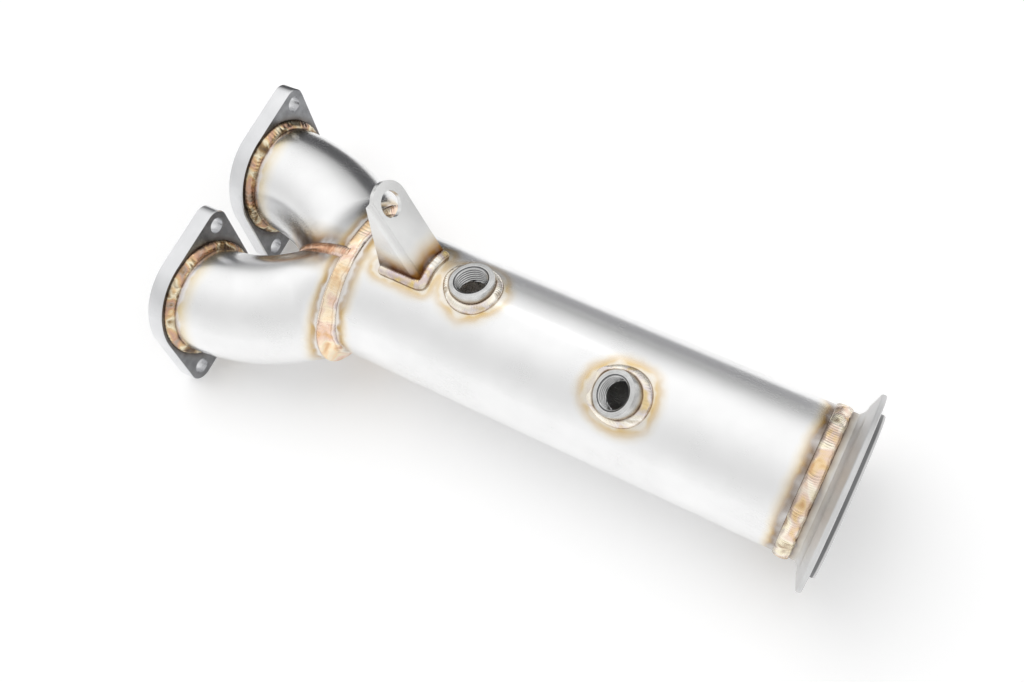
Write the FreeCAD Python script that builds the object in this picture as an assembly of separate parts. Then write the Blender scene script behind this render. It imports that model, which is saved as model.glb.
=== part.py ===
"""Turbo downpipe: two round inlet legs merge into one straight pipe with a V-band outlet.

Millimetres. The origin is the centre of the outlet sealing face. +X points out of the outlet, along the
axis of the main pipe, +Z points up and +Y is to the left of the gas flow. The part lies at rest on the
straight lower edges of its two inlet flanges and on the rim of its outlet flange.
"""
import FreeCAD, Part
import math
import os

V = FreeCAD.Vector

# main pipe
PIPE_OD = 76.1
PIPE_WALL = 2.0
PIPE_LENGTH = 252.2

# outlet flange, a male V-band flange turned from bar
OUTLET_DEPTH = 15.3           # weld joint to sealing face
OUTLET_SPIGOT = 7.2           # plain end of the flange, as thick as the pipe wall
OUTLET_STEP = 0.9             # shoulder between the plain end and the hub
OUTLET_HOLLOW = 1.5           # depth of the hollow between the shoulder and the flank
OUTLET_SEAL_WIDTH = 9.0       # sealing face, from the register out to the rim
OUTLET_RIM_T = 2.6
OUTLET_FLANK_DEG = 20.0       # the flank that the clamp pulls on
OUTLET_NECK_RISE = 5.35       # from the outside of the pipe up to the foot of the flank
OUTLET_LIP_WIDTH = 5.95       # register lip, from the bore out to its rim
OUTLET_REGISTER_H = 3.0
OUTLET_EDGE_CHAMFER = 0.5

# inlet legs
LEG_OD = 60.3
LEG_WALL = 2.0
LEG_BEND_R = 114.3
LEG_FORM_LENGTH = 28.0        # formed end, from the bend to the junction plane
LEG_RISE = 4.5                # from the inlet axis up to the aim point, square to that axis
LEG_AIM_OFFSET = 5.0          # sideways offset of the formed end's line where it meets the junction plane

# inlet flanges
INLET_TILT_DEG = 6.0          # the inlet faces look down by this angle
FLANGE_GAP = 0.6              # between the ears of the two flanges
FLANGE_T = 10.0
FLANGE_RING_WIDTH = 6.25      # plate left around the leg
FLANGE_EAR_R = 8.6
FLANGE_BOLT_OUT = 13.05       # bolt centres from the outside of the leg
FLANGE_BOLT_D = 9.0
FLANGE_CLOCK_DEG = 40.0       # long axis above the horizontal
FLANGE_EDGE_CHAMFER = 0.5
FLANGE_BORE_CLEARANCE = 0.2   # on the diameter, around the leg
LEG_RECESS = 2.0              # end of the leg below the sealing face

# sensor bungs, M18 x 1.5
BUNG_OD = 23.6
BUNG_THREAD_D = 18.0
BUNG_MINOR_D = 16.4
BUNG_STAND = 5.5              # face above the pipe, along the axis of the bung
BUNG_CHAMFER = 1.0
BUNG_PORT_CLEARANCE = 0.6     # hole in the pipe over the thread, on the diameter
UP_BUNG_X = 67.0              # from the junction plane
UP_BUNG_CLOCK_DEG = 15.5      # from the top towards +Y
UP_BUNG_LEAN_DEG = 10.0       # towards the inlets
DOWN_BUNG_X = 157.0
DOWN_BUNG_CLOCK_DEG = -15.5
DOWN_BUNG_LEAN_DEG = 23.0

# support bracket, folded from sheet
BRACKET_T = 2.5
BRACKET_FOLD_R = 3.5          # outside radius of the fold
BRACKET_X = 43.0              # foot of the fold, from the junction plane
BRACKET_CLOCK_DEG = 18.0      # middle of the face, from the top towards +Y
BRACKET_LEAN_DEG = 31.0       # the face leans towards the inlets
BRACKET_WIDTH = 23.6
BRACKET_HOLE_UP = 42.3        # foot of the fold to the hole, along the face
BRACKET_HOLE_D = 13.4
BRACKET_FOLD_TOP = 48.0       # foot of the fold to its upper end
BRACKET_GUSSET_DEPTH = 24.5   # side flange along the pipe, at its foot
BRACKET_GUSSET_TOP_DEPTH = 3.5

# weld beads
FILLET_LEG = 4.0
SEAL_LEG = 1.8
GIRTH_HALF_WIDTH = 4.2
GIRTH_HEIGHT = 1.6
CROTCH_R = 3.3
CROTCH_SINK = 1.3             # centre of the crotch bead below its seam
OVAL_POINTS = 12              # points that each formed section is drawn through
SEAM_POINTS = 25              # points that the crotch bead is guided through
BUNG_BEAD_LEG = 3.2
BUNG_BEAD_CROWN_R = 2.8
BRACKET_BEAD_R = 2.4
BEAD_FACE_GAP = 0.3           # a bead stays this far below the face of its bung

PIPE_R = PIPE_OD / 2
LEG_R = LEG_OD / 2
JUNCTION_X = -(PIPE_LENGTH + OUTLET_DEPTH)
JUNCTION = V(JUNCTION_X, 0, 0)
FLANGE_BODY_R = LEG_R + FLANGE_RING_WIDTH
FLANGE_BOLT_REACH = LEG_R + FLANGE_BOLT_OUT
CLOCK = math.radians(FLANGE_CLOCK_DEG)
FLANGE_HALF_WIDTH = max(FLANGE_BODY_R, FLANGE_BOLT_REACH * math.cos(CLOCK) + FLANGE_EAR_R)
INLET_SPREAD = 2 * FLANGE_HALF_WIDTH + FLANGE_GAP
TILT = math.radians(INLET_TILT_DEG)
FAR_OUT = 4 * PIPE_OD         # reach of the tools that cut along a plane


def cylinder(radius, start, end):
    """A round bar from one point to another."""
    along = end - start
    return Part.makeCylinder(radius, along.Length, start, along)


def disc_face(radius, centre, normal):
    return Part.Face(Part.Wire(Part.makeCircle(radius, centre, normal)))


def right_half_space():
    """Everything right of the middle plane around the legs."""
    length = LEG_BEND_R + LEG_FORM_LENGTH + LEG_OD
    return Part.makeBox(2 * length, FAR_OUT, 2 * FAR_OUT, V(JUNCTION_X - length, -FAR_OUT, -FAR_OUT))


def mirrored(shape):
    """The same shape on the other side of the middle plane."""
    return shape.mirror(V(0, 0, 0), V(0, 1, 0))


def main_pipe_bar(radius):
    return cylinder(radius, JUNCTION, V(-OUTLET_DEPTH, 0, 0))


def main_pipe():
    pipe = main_pipe_bar(PIPE_R).cut(main_pipe_bar(PIPE_R - PIPE_WALL))
    port_r = (BUNG_THREAD_D + BUNG_PORT_CLEARANCE) / 2
    for bung in BUNGS:
        foot, axis = bung_seat(bung)
        pipe = pipe.cut(cylinder(port_r, foot - axis * 3 * PIPE_WALL, foot + axis * BUNG_OD))
    return pipe


def outlet_flange():
    bore = PIPE_R - PIPE_WALL
    register_r = bore + OUTLET_LIP_WIDTH
    rim_r = register_r + OUTLET_SEAL_WIDTH
    flank_in_r = PIPE_R + OUTLET_NECK_RISE
    chamfer = OUTLET_EDGE_CHAMFER
    flank_x = -OUTLET_RIM_T - (rim_r - flank_in_r) * math.tan(math.radians(OUTLET_FLANK_DEG))
    profile = [
        V(-OUTLET_DEPTH, 0, bore),
        V(-OUTLET_DEPTH, 0, PIPE_R),
        V(flank_x, 0, flank_in_r),
        V(-OUTLET_RIM_T, 0, rim_r - chamfer),
        V(-OUTLET_RIM_T + chamfer, 0, rim_r),
        V(-chamfer, 0, rim_r),
        V(0, 0, rim_r - chamfer),
        V(0, 0, register_r),
        V(OUTLET_REGISTER_H - chamfer, 0, register_r),
        V(OUTLET_REGISTER_H, 0, register_r - chamfer),
        V(OUTLET_REGISTER_H, 0, bore),
    ]
    shoulder_x = -OUTLET_DEPTH + OUTLET_SPIGOT
    foot = V(shoulder_x, 0, PIPE_R)
    shoulder = V(shoulder_x + OUTLET_STEP, 0, PIPE_R + OUTLET_STEP)
    # the hub curves up from its shoulder into the flank
    bulge = V(flank_x - OUTLET_HOLLOW / 2, 0, PIPE_R + OUTLET_STEP + OUTLET_HOLLOW)
    corners = profile[:2] + [foot, shoulder]
    edges = [Part.makeLine(a, b) for a, b in zip(corners, corners[1:])]
    edges.append(Part.Arc(shoulder, bulge, profile[2]).toShape())
    outline = profile[2:] + profile[:1]
    edges += [Part.makeLine(a, b) for a, b in zip(outline, outline[1:])]
    return Part.Face(Part.Wire(edges)).revolve(V(0, 0, 0), V(1, 0, 0), 360)


# Inlet legs

def inlet_normal():
    """Out of the inlet, square to the flange."""
    return V(-math.cos(TILT), 0, -math.sin(TILT))


def inlet_upright():
    return V(-math.sin(TILT), 0, math.cos(TILT))


def leg_route():
    """Centreline of the right leg: a tangent bend from the flange, then a line to its aim point.

    The bend turns just as far as brings the leg across from its inlet to the aim point.
    """
    ahead = -inlet_normal()
    aim = V(JUNCTION_X, -LEG_AIM_OFFSET, 0)
    inward = V(0, INLET_SPREAD / 2 - LEG_AIM_OFFSET, 0) + inlet_upright() * LEG_RISE
    across = inward.Length
    inward = inward / across
    reach = math.hypot(LEG_BEND_R, LEG_FORM_LENGTH)
    angle = math.atan2(LEG_BEND_R, LEG_FORM_LENGTH) - math.asin((LEG_BEND_R - across) / reach)
    run = ahead * math.cos(angle) + inward * math.sin(angle)
    bend_end = aim - run * LEG_FORM_LENGTH
    start = bend_end - ahead * (LEG_BEND_R * math.sin(angle)) - inward * (LEG_BEND_R * (1 - math.cos(angle)))
    return start, ahead, inward, angle, bend_end, run, aim


def section_axes(normal):
    """Level and upright directions of a section plane."""
    level = V(0, 0, 1).cross(normal).normalize()
    if level.y < 0:
        level = -level
    return level, normal.cross(level).normalize()


def round_wire(centre, normal, radius):
    level, upright = section_axes(normal)
    start, top, end = (centre + way * radius for way in (level, upright, -level))
    return Part.Wire(Part.Circle(start, top, end).toShape())


def oval_wire(centre, normal, half_width, half_height):
    """A closed oval on a plane, its width in the plane's level direction."""
    level, upright = section_axes(normal)
    points = []
    for step in range(OVAL_POINTS):
        turn = 2 * math.pi * step / OVAL_POINTS
        points.append(centre + level * (half_width * math.cos(turn)) + upright * (half_height * math.sin(turn)))
    curve = Part.BSplineCurve()
    curve.interpolate(points, PeriodicFlag=True)
    return Part.Wire(curve.toShape())


def right_leg_body(inset):
    """The right leg as a filled body, its surface moved in by inset and running on past the middle plane.

    After the bend the round tube is formed out to the round of the main pipe.
    """
    start, ahead, inward, angle, bend_end, run, aim = leg_route()
    radius = LEG_R - inset
    end_radius = PIPE_R - inset
    spigot = cylinder(radius, start - ahead * (FLANGE_T - LEG_RECESS), start)
    bend_centre = start + inward * LEG_BEND_R
    bend = disc_face(radius, start, ahead).revolve(bend_centre, ahead.cross(inward), math.degrees(angle))
    sections = [round_wire(bend_end, run, radius)]
    for share in (0.25, 0.5, 0.75):
        ease = share * share * (3 - 2 * share)
        centre = bend_end * (1 - share) + (aim * (1 - ease) + JUNCTION * ease) * share
        normal = (run * (1 - share) + V(1, 0, 0) * share).normalize()
        slant = normal.dot(run)
        height = radius + (end_radius - radius) * ease
        width = (radius / slant) * (1 - ease) + end_radius * ease
        sections.append(oval_wire(centre, normal, width, height))
    sections.append(round_wire(JUNCTION, V(1, 0, 0), end_radius))
    formed = Part.makeLoft(sections, True, False)
    return spigot.fuse([bend, formed])


def right_leg_half(body):
    """The part of a leg body that is left when the two legs are cut to meet on the middle plane."""
    return biggest(body.common(right_half_space()))


def biggest(shape):
    return max(shape.Solids, key=lambda solid: solid.Volume)


# Inlet flanges

def flange_axes(side):
    """Centre of the back face, outward normal, level axis and upright axis; side is +1 for left, -1 for right."""
    right = leg_route()[0]
    return V(right.x, -side * right.y, right.z), inlet_normal(), V(0, 1, 0), inlet_upright()


def flange_outline(centre, level, upright):
    """Two ears joined to a round body by straight tangent edges."""
    long_axis = level * math.cos(CLOCK) + upright * math.sin(CLOCK)
    cross_axis = upright * math.cos(CLOCK) - level * math.sin(CLOCK)
    reach = FLANGE_BOLT_REACH
    touch = math.acos((FLANGE_BODY_R - FLANGE_EAR_R) / reach)

    def at(origin, radius, turn):
        return origin + long_axis * (radius * math.cos(turn)) + cross_axis * (radius * math.sin(turn))

    edges = []
    for end in (0, math.pi):
        ear = centre + long_axis * (reach * math.cos(end))
        ear_a, ear_mid, ear_b = (at(ear, FLANGE_EAR_R, end + turn) for turn in (-touch, 0, touch))
        body_a = at(centre, FLANGE_BODY_R, end + touch)
        body_mid = at(centre, FLANGE_BODY_R, end + math.pi / 2)
        body_b = at(centre, FLANGE_BODY_R, end + math.pi - touch)
        next_ear = centre - long_axis * (reach * math.cos(end))
        edges.append(Part.Arc(ear_a, ear_mid, ear_b).toShape())
        edges.append(Part.makeLine(ear_b, body_a))
        edges.append(Part.Arc(body_a, body_mid, body_b).toShape())
        edges.append(Part.makeLine(body_b, at(next_ear, FLANGE_EAR_R, end + math.pi - touch)))
    return Part.Wire(edges), long_axis


def inlet_flange(side):
    centre, normal, level, upright = flange_axes(side)
    outline, long_axis = flange_outline(centre, level, upright)
    plate = Part.Face(outline).extrude(normal * FLANGE_T)
    rims = [edge for edge in plate.Edges if abs(edge.tangentAt(edge.FirstParameter).dot(normal)) < 0.5]
    plate = plate.makeChamfer(FLANGE_EDGE_CHAMFER, rims)
    through = normal * FLANGE_T
    plate = plate.cut(cylinder((LEG_OD + FLANGE_BORE_CLEARANCE) / 2, centre - normal, centre + through + normal))
    for end in (-1, 1):
        hole = centre + long_axis * (end * FLANGE_BOLT_REACH)
        plate = plate.cut(cylinder(FLANGE_BOLT_D / 2, hole - normal, hole + through + normal))
    return plate


def turned(points, base, axis, square):
    """Revolve an outline given as (along the axis, out from the axis) pairs."""
    corners = [base + axis * along + square * out for along, out in points]
    return Part.Face(Part.makePolygon(corners + corners[:1])).revolve(base, axis, 360)


def flange_weld(side, leg):
    """Outer fillet between the leg and the back of its flange, slightly crowned."""
    centre, normal, level, upright = flange_axes(side)
    toe = LEG_R + FILLET_LEG
    crown = 0.62 * FILLET_LEG
    inside = LEG_R - LEG_WALL / 2
    section = [(0, inside), (0, toe), (-crown, LEG_R + crown), (-FILLET_LEG, LEG_R + 0.2), (-FILLET_LEG, inside)]
    return turned(section, centre, normal, level).cut(leg)


def seal_weld(side):
    """Inner bead between the end of the leg and the bore of its flange."""
    centre, normal, level, upright = flange_axes(side)
    bore = (LEG_OD + FLANGE_BORE_CLEARANCE) / 2
    leg_end = FLANGE_T - LEG_RECESS
    section = [(leg_end, bore - SEAL_LEG), (leg_end, bore), (leg_end + SEAL_LEG, bore), (leg_end + 0.7, bore - 0.9)]
    return turned(section, centre, normal, level)


# Sensor bungs

BUNGS = {
    "upstream": (UP_BUNG_X, UP_BUNG_CLOCK_DEG, UP_BUNG_LEAN_DEG),
    "downstream": (DOWN_BUNG_X, DOWN_BUNG_CLOCK_DEG, DOWN_BUNG_LEAN_DEG),
}


def around(clock_deg):
    """Outward and sideways directions at a clock position on the main pipe."""
    clock = math.radians(clock_deg)
    return V(0, math.sin(clock), math.cos(clock)), V(0, math.cos(clock), -math.sin(clock))


def bung_seat(bung):
    """Where the axis of a bung meets the outside of the pipe, and the axis itself."""
    distance, clock_deg, lean_deg = BUNGS[bung]
    out, sideways = around(clock_deg)
    lean = math.radians(lean_deg)
    axis = out * math.cos(lean) - V(1, 0, 0) * math.sin(lean)
    return V(JUNCTION_X + distance, 0, 0) + out * PIPE_R, axis


def sensor_bung(bung):
    foot, axis = bung_seat(bung)
    face = foot + axis * BUNG_STAND
    body = cylinder(BUNG_OD / 2, foot - axis * PIPE_R / 2, face)
    rim = [edge for edge in body.Edges if edge.Closed and edge.BoundBox.Center.distanceToPoint(face) < 0.1]
    body = body.makeChamfer(BUNG_CHAMFER / 2, rim)
    body = body.cut(main_pipe_bar(PIPE_R))
    bore_r = BUNG_MINOR_D / 2
    body = body.cut(cylinder(bore_r, foot - axis * PIPE_R, face + axis))
    mouth_r = BUNG_THREAD_D / 2 + 0.2
    mouth = Part.makeCone(bore_r - 1, mouth_r + 1, mouth_r - bore_r + 2, face - axis * (mouth_r - bore_r + 1), axis)
    return biggest(body.cut(mouth))


def bung_weld(bung):
    """Crowned fillet that follows the foot of the bung over the round of the pipe."""
    foot, axis = bung_seat(bung)
    deep = foot - axis * PIPE_R / 2
    high = foot + axis * PIPE_R
    toe_r = BUNG_OD / 2 + BUNG_BEAD_LEG
    over_pipe_r = PIPE_R + BUNG_BEAD_LEG
    bead = cylinder(toe_r, deep, high).common(main_pipe_bar(over_pipe_r))
    bead = biggest(bead.cut(main_pipe_bar(PIPE_R)))
    shoulder = [edge for edge in bead.Edges if is_at(edge, toe_r, foot, axis) and is_at(edge, over_pipe_r, V(), V(1, 0, 0))]
    bead = bead.makeFillet(BUNG_BEAD_CROWN_R, shoulder)
    bead = bead.cut(cylinder(BUNG_OD / 2, deep, high))
    face = foot + axis * (BUNG_STAND - BEAD_FACE_GAP)
    return biggest(bead.cut(cylinder(BUNG_OD, face, face + axis * PIPE_R)))


def is_at(edge, radius, origin, axis):
    """True if the whole edge keeps this distance from an axis."""
    for share in (0.1, 0.5, 0.8):
        point = edge.valueAt(edge.FirstParameter + share * (edge.LastParameter - edge.FirstParameter)) - origin
        if abs((point - axis * point.dot(axis)).Length - radius) > 0.02:
            return False
    return True


# Girth and crotch welds

def crown_circle():
    """Radius of a girth bead's crown, and how far below the pipe's surface its centre lies."""
    radius = (GIRTH_HALF_WIDTH ** 2 + GIRTH_HEIGHT ** 2) / (2 * GIRTH_HEIGHT)
    return radius, radius - GIRTH_HEIGHT


def bead_ring(x):
    """A bead right round the main pipe, sunk into it."""
    radius, depth = crown_circle()
    return Part.makeTorus(PIPE_R - depth, radius, V(x, 0, 0), V(1, 0, 0))


def junction_weld(leg_halves):
    return biggest(bead_ring(JUNCTION_X).cut([main_pipe_bar(PIPE_R)] + leg_halves))


def outlet_weld():
    """The crown of a bead; its underside is the outside of the pipe and the flange."""
    first = V(-OUTLET_DEPTH - GIRTH_HALF_WIDTH, 0, PIPE_R)
    last = V(-OUTLET_DEPTH + GIRTH_HALF_WIDTH, 0, PIPE_R)
    crown = Part.Arc(first, V(-OUTLET_DEPTH, 0, PIPE_R + GIRTH_HEIGHT), last).toShape()
    outline = Part.Wire([crown, Part.makeLine(last, first)])
    return Part.Face(outline).revolve(V(0, 0, 0), V(1, 0, 0), 360)


def crotch_weld(leg_halves):
    """Bead along the seam where the two legs meet on the middle plane."""
    cut_faces = [face for face in leg_halves[0].Faces if face.BoundBox.YLength < 0.01]
    seam = [edge for face in cut_faces for edge in face.OuterWire.Edges if edge.BoundBox.XMin < JUNCTION_X - 0.1]
    route = Part.Wire(Part.sortEdges(seam)[0])
    curve = Part.BSplineCurve()
    curve.interpolate(route.discretize(SEAM_POINTS))
    sunk = []
    for step in range(SEAM_POINTS):
        place = curve.FirstParameter + (curve.LastParameter - curve.FirstParameter) * step / (SEAM_POINTS - 1)
        point = curve.value(place)
        inward = V(0, 1, 0).cross(curve.tangent(place)[0])
        if inward.dot(JUNCTION - point) < 0:
            inward = -inward
        sunk.append(point + inward * CROTCH_SINK)
    curve.interpolate(sunk)
    start = curve.value(curve.FirstParameter)
    tangent = curve.tangent(curve.FirstParameter)[0]
    section = Part.Wire(Part.makeCircle(CROTCH_R, start, tangent))
    bead = Part.Wire(curve.toShape()).makePipeShell([section], True, False)
    past_junction = main_pipe_bar(PIPE_R + CROTCH_R)
    return biggest(bead.cut(leg_halves + [past_junction, bead_ring(JUNCTION_X)]))


# Support bracket

def bracket_axes():
    """Foot of the fold, and the directions up the face, along the side flange and sideways."""
    out, sideways = around(BRACKET_CLOCK_DEG)
    lean = math.radians(BRACKET_LEAN_DEG)
    up = out * math.cos(lean) - V(1, 0, 0) * math.sin(lean)
    half = BRACKET_WIDTH / 2
    foot = V(JUNCTION_X + BRACKET_X, 0, 0) - sideways * half + out * math.sqrt(PIPE_R ** 2 - half ** 2)
    return foot, up, out, sideways


def support_bracket():
    foot, up, out, sideways = bracket_axes()
    upstream = V(-1, 0, 0)
    back = sideways.cross(up)
    if back.x > 0:
        back = -back
    low = -PIPE_R / 3

    def at(side, height, depth=0):
        return foot + sideways * side + up * height + back * depth

    # folded blank: leaning face and side flange, rounded at the fold
    thick = BRACKET_T
    wide = BRACKET_WIDTH
    deep = BRACKET_GUSSET_DEPTH
    bend = BRACKET_FOLD_R
    inner = bend - thick
    soft = 1 - math.sqrt(0.5)
    section = Part.Wire([
        Part.Arc(at(0, low, bend), at(bend * soft, low, bend * soft), at(bend, low, 0)).toShape(),
        Part.makeLine(at(bend, low, 0), at(wide, low, 0)),
        Part.makeLine(at(wide, low, 0), at(wide, low, thick)),
        Part.makeLine(at(wide, low, thick), at(bend, low, thick)),
        Part.Arc(at(bend, low, thick), at(thick + inner * soft, low, thick + inner * soft),
                 at(thick, low, bend)).toShape(),
        Part.makeLine(at(thick, low, bend), at(thick, low, deep)),
        Part.makeLine(at(thick, low, deep), at(0, low, deep)),
        Part.makeLine(at(0, low, deep), at(0, low, bend))])
    radius = wide / 2
    blank = Part.Face(section).extrude(up * (BRACKET_HOLE_UP + radius - low))
    # outline of the face: square foot, round top, small step where the fold ends
    step = radius - math.sqrt(radius ** 2 - (BRACKET_FOLD_TOP - BRACKET_HOLE_UP) ** 2)
    round_start = at(step, BRACKET_FOLD_TOP)
    round_end = at(wide, BRACKET_HOLE_UP)
    face = Part.Face(Part.Wire([
        Part.makeLine(at(0, low), at(wide, low)),
        Part.makeLine(at(wide, low), round_end),
        Part.Arc(round_end, at(radius, BRACKET_HOLE_UP + radius), round_start).toShape(),
        Part.makeLine(round_start, at(0, BRACKET_FOLD_TOP)),
        Part.makeLine(at(0, BRACKET_FOLD_TOP), at(0, low))])).extrude(back * bend)
    # outline of the side flange: its rear edge stands nearly square to the pipe
    rear_top = at(0, BRACKET_FOLD_TOP) + upstream * BRACKET_GUSSET_TOP_DEPTH
    rear_foot = foot + upstream * BRACKET_GUSSET_DEPTH
    corners = [at(0, low), at(0, BRACKET_FOLD_TOP), rear_top, rear_foot, rear_foot + out * low]
    gusset = Part.Face(Part.makePolygon(corners + corners[:1])).extrude(sideways * bend)
    bracket = blank.common(face.fuse(gusset))
    hole = at(radius, BRACKET_HOLE_UP)
    bracket = bracket.cut(cylinder(BRACKET_HOLE_D / 2, hole - back * thick, hole + back * 2 * thick))
    return biggest(bracket.cut(main_pipe_bar(PIPE_R)))


def bracket_weld(bracket):
    """Bead along the foot of the bracket, on the outside of the side flange and the face."""
    foot, up, out, sideways = bracket_axes()
    half = BRACKET_WIDTH / 2
    stand = BRACKET_BEAD_R / 4
    slope = math.tan(math.radians(BRACKET_LEAN_DEG))

    def on_pipe(x, across):
        return V(x, 0, 0) + sideways * across + out * math.sqrt((PIPE_R + stand) ** 2 - across ** 2)

    def on_face(across):
        drop = foot.dot(out) - math.sqrt(PIPE_R ** 2 - across ** 2)
        return on_pipe(foot.x + stand + drop * slope, across)

    corner = on_face(-half - stand)
    rear = on_pipe(foot.x - BRACKET_GUSSET_DEPTH, -half - stand)
    middle = on_face(0)
    end = on_face(half)
    curve = Part.Arc(corner, middle, end)
    section = Part.Wire(Part.makeCircle(BRACKET_BEAD_R, corner, curve.tangent(curve.FirstParameter)[0]))
    across_foot = Part.Wire(curve.toShape()).makePipeShell([section], True, False)
    along_foot = cylinder(BRACKET_BEAD_R, rear, corner)
    turns = [Part.makeSphere(BRACKET_BEAD_R * size, point) for point, size in ((rear, 1), (corner, 1.15), (end, 1))]
    bead = across_foot.fuse([along_foot] + turns)
    return biggest(bead.cut([bracket, main_pipe_bar(PIPE_R)]))


def write(name, shape):
    solid = biggest(shape)
    solid.exportStep(os.path.join("parts", name + ".step"))
    print(name, "volume", round(solid.Volume), "valid", solid.isValid(), "solids", len(shape.Solids))


def main():
    os.makedirs("parts", exist_ok=True)
    leg_outside = right_leg_body(0)
    right_filled = right_leg_half(leg_outside)
    right_leg = biggest(right_leg_half(leg_outside).cut(right_leg_body(LEG_WALL)))
    leg_halves = [right_filled, mirrored(right_filled)]
    write("right_inlet_leg", right_leg)
    write("left_inlet_leg", mirrored(right_leg))
    for side, name, leg in ((1, "left", mirrored(leg_outside)), (-1, "right", leg_outside)):
        write(name + "_inlet_flange", inlet_flange(side))
        write(name + "_flange_weld", flange_weld(side, leg))
        write(name + "_seal_weld", seal_weld(side))
    write("crotch_weld", crotch_weld(leg_halves))
    write("junction_weld", junction_weld(leg_halves))
    write("main_pipe", main_pipe())
    for bung in BUNGS:
        write(bung + "_sensor_bung", sensor_bung(bung))
        write(bung + "_bung_weld", bung_weld(bung))
    bracket = support_bracket()
    write("support_bracket", bracket)
    write("bracket_weld", bracket_weld(bracket))
    write("outlet_weld", outlet_weld())
    write("outlet_flange", outlet_flange())


main()
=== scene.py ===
"""Dresses the CAD model of a stainless turbo downpipe and puts it in a plain studio.

The tubes, flanges and bracket keep their CAD meshes and get satin steel with heat tint beside every weld.
The weld beads and the sensor bungs are replaced by rippled beads and by bungs with a cut thread.
"""
import math

import bmesh
import bpy
from mathutils import Matrix, Vector, noise
from mathutils.bvhtree import BVHTree


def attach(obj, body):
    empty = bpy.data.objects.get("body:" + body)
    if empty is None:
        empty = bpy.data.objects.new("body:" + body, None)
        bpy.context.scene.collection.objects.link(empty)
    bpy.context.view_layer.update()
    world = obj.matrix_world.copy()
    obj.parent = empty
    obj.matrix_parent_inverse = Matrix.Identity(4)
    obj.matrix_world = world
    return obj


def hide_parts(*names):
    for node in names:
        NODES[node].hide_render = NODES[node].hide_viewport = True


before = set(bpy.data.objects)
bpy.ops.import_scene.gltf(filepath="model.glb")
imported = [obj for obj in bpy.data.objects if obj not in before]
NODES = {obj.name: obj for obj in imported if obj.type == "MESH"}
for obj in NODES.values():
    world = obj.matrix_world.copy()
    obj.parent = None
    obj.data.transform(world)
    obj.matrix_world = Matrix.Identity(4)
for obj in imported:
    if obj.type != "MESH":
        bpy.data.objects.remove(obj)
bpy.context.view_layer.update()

bl_info = {
    "name": "Turbo Downpipe",
    "version": (1, 0, 0),
    "blender": (4, 5, 0),
    "location": "3D View > Sidebar > Downpipe",
    "description": "Heat tinted steel, rippled weld beads, cut threads and a plain studio "
                   "for a turbo downpipe",
    "category": "Object",
}

MM = 0.001
BODY = "root"
SHARP_ANGLE = math.radians(40)
FLOOR_WIDTH = 80
CARD_HEIGHT = 0.08

# places on the part, as in its CAD source
PIPE_R = 38.05 * MM
LEG_R = 30.15 * MM
JUNCTION_X = -267.5 * MM
OUTLET_JOINT_X = -15.3 * MM
SEAM_START_X = -312.0 * MM
FLOOR_Z = -51.0 * MM
INLET_TILT = math.radians(6)
RIGHT_LEG_START = Vector((-355.504, -41.993, -13.774)) * MM
LEG_AHEAD = Vector((math.cos(INLET_TILT), 0, math.sin(INLET_TILT)))
MIDDLE_PLANE = Vector((0, 1, 0))
ORIGIN = Vector((0, 0, 0))
DOWNSTREAM = Vector((1, 0, 0))
BUNG_SEATS = {"upstream": (-200.5, 15.5, 10), "downstream": (-110.5, -15.5, 23)}
BUNG_R = 11.8 * MM
BUNG_STAND = 5.5 * MM
BUNG_TOE_R = 15.0 * MM
BRACKET_FOOT_X = -224.5 * MM
BRACKET_CLOCK_DEG = 18
BRACKET_LEAN_DEG = 31
BRACKET_WIDTH = 23.6 * MM
BRACKET_SIDE_DEPTH = 24.5 * MM
CROTCH_BEAD_R = 3.3 * MM
PART_MIDDLE = Vector((-0.18, 0, 0))


def around_pipe(clock_deg):
    """Outward and sideways directions at a clock position on the main pipe."""
    clock = math.radians(clock_deg)
    return Vector((0, math.sin(clock), math.cos(clock))), Vector((0, math.cos(clock), -math.sin(clock)))


def bung_seat(bung):
    """Where the axis of a bung meets the outside of the pipe, and the axis."""
    x, clock_deg, lean_deg = BUNG_SEATS[bung]
    out, _ = around_pipe(clock_deg)
    lean = math.radians(lean_deg)
    return Vector((x * MM, 0, 0)) + out * PIPE_R, out * math.cos(lean) - DOWNSTREAM * math.sin(lean)


def bracket_foot_line():
    """Rear and corner of the side flange's foot, and the middle and end of the leaning face's foot."""
    out, sideways = around_pipe(BRACKET_CLOCK_DEG)
    half = BRACKET_WIDTH / 2
    slope = math.tan(math.radians(BRACKET_LEAN_DEG))
    fold_height = math.sqrt(PIPE_R ** 2 - half ** 2)

    def on_pipe(x, across):
        return Vector((x, 0, 0)) + sideways * across + out * math.sqrt(PIPE_R ** 2 - across ** 2)

    def on_face(across):
        drop = fold_height - math.sqrt(PIPE_R ** 2 - across ** 2)
        return on_pipe(BRACKET_FOOT_X + drop * slope, across)

    rear = on_pipe(BRACKET_FOOT_X - BRACKET_SIDE_DEPTH, -half)
    return rear, on_face(-half), on_face(0), on_face(half)


# Colour and nodes

def linear(hex_colour):
    """An sRGB hex colour as linear RGBA."""
    channels = [int(hex_colour[place:place + 2], 16) / 255 for place in (1, 3, 5)]
    return [c / 12.92 if c <= 0.04045 else ((c + 0.055) / 1.055) ** 2.4 for c in channels] + [1.0]


def add_node(tree, kind, inputs=None, **settings):
    """Adds a node. Each input is a value, or the output that feeds it."""
    node = tree.nodes.new(kind)
    for name, value in settings.items():
        setattr(node, name, value)
    for socket, value in (inputs or {}).items():
        if isinstance(value, bpy.types.NodeSocket):
            tree.links.new(value, node.inputs[socket])
        else:
            node.inputs[socket].default_value = value
    return node


def bare_material(name):
    """A material with an empty node tree."""
    material = bpy.data.materials.new(name)
    material.use_nodes = True
    material.node_tree.nodes.clear()
    return material, material.node_tree


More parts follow.
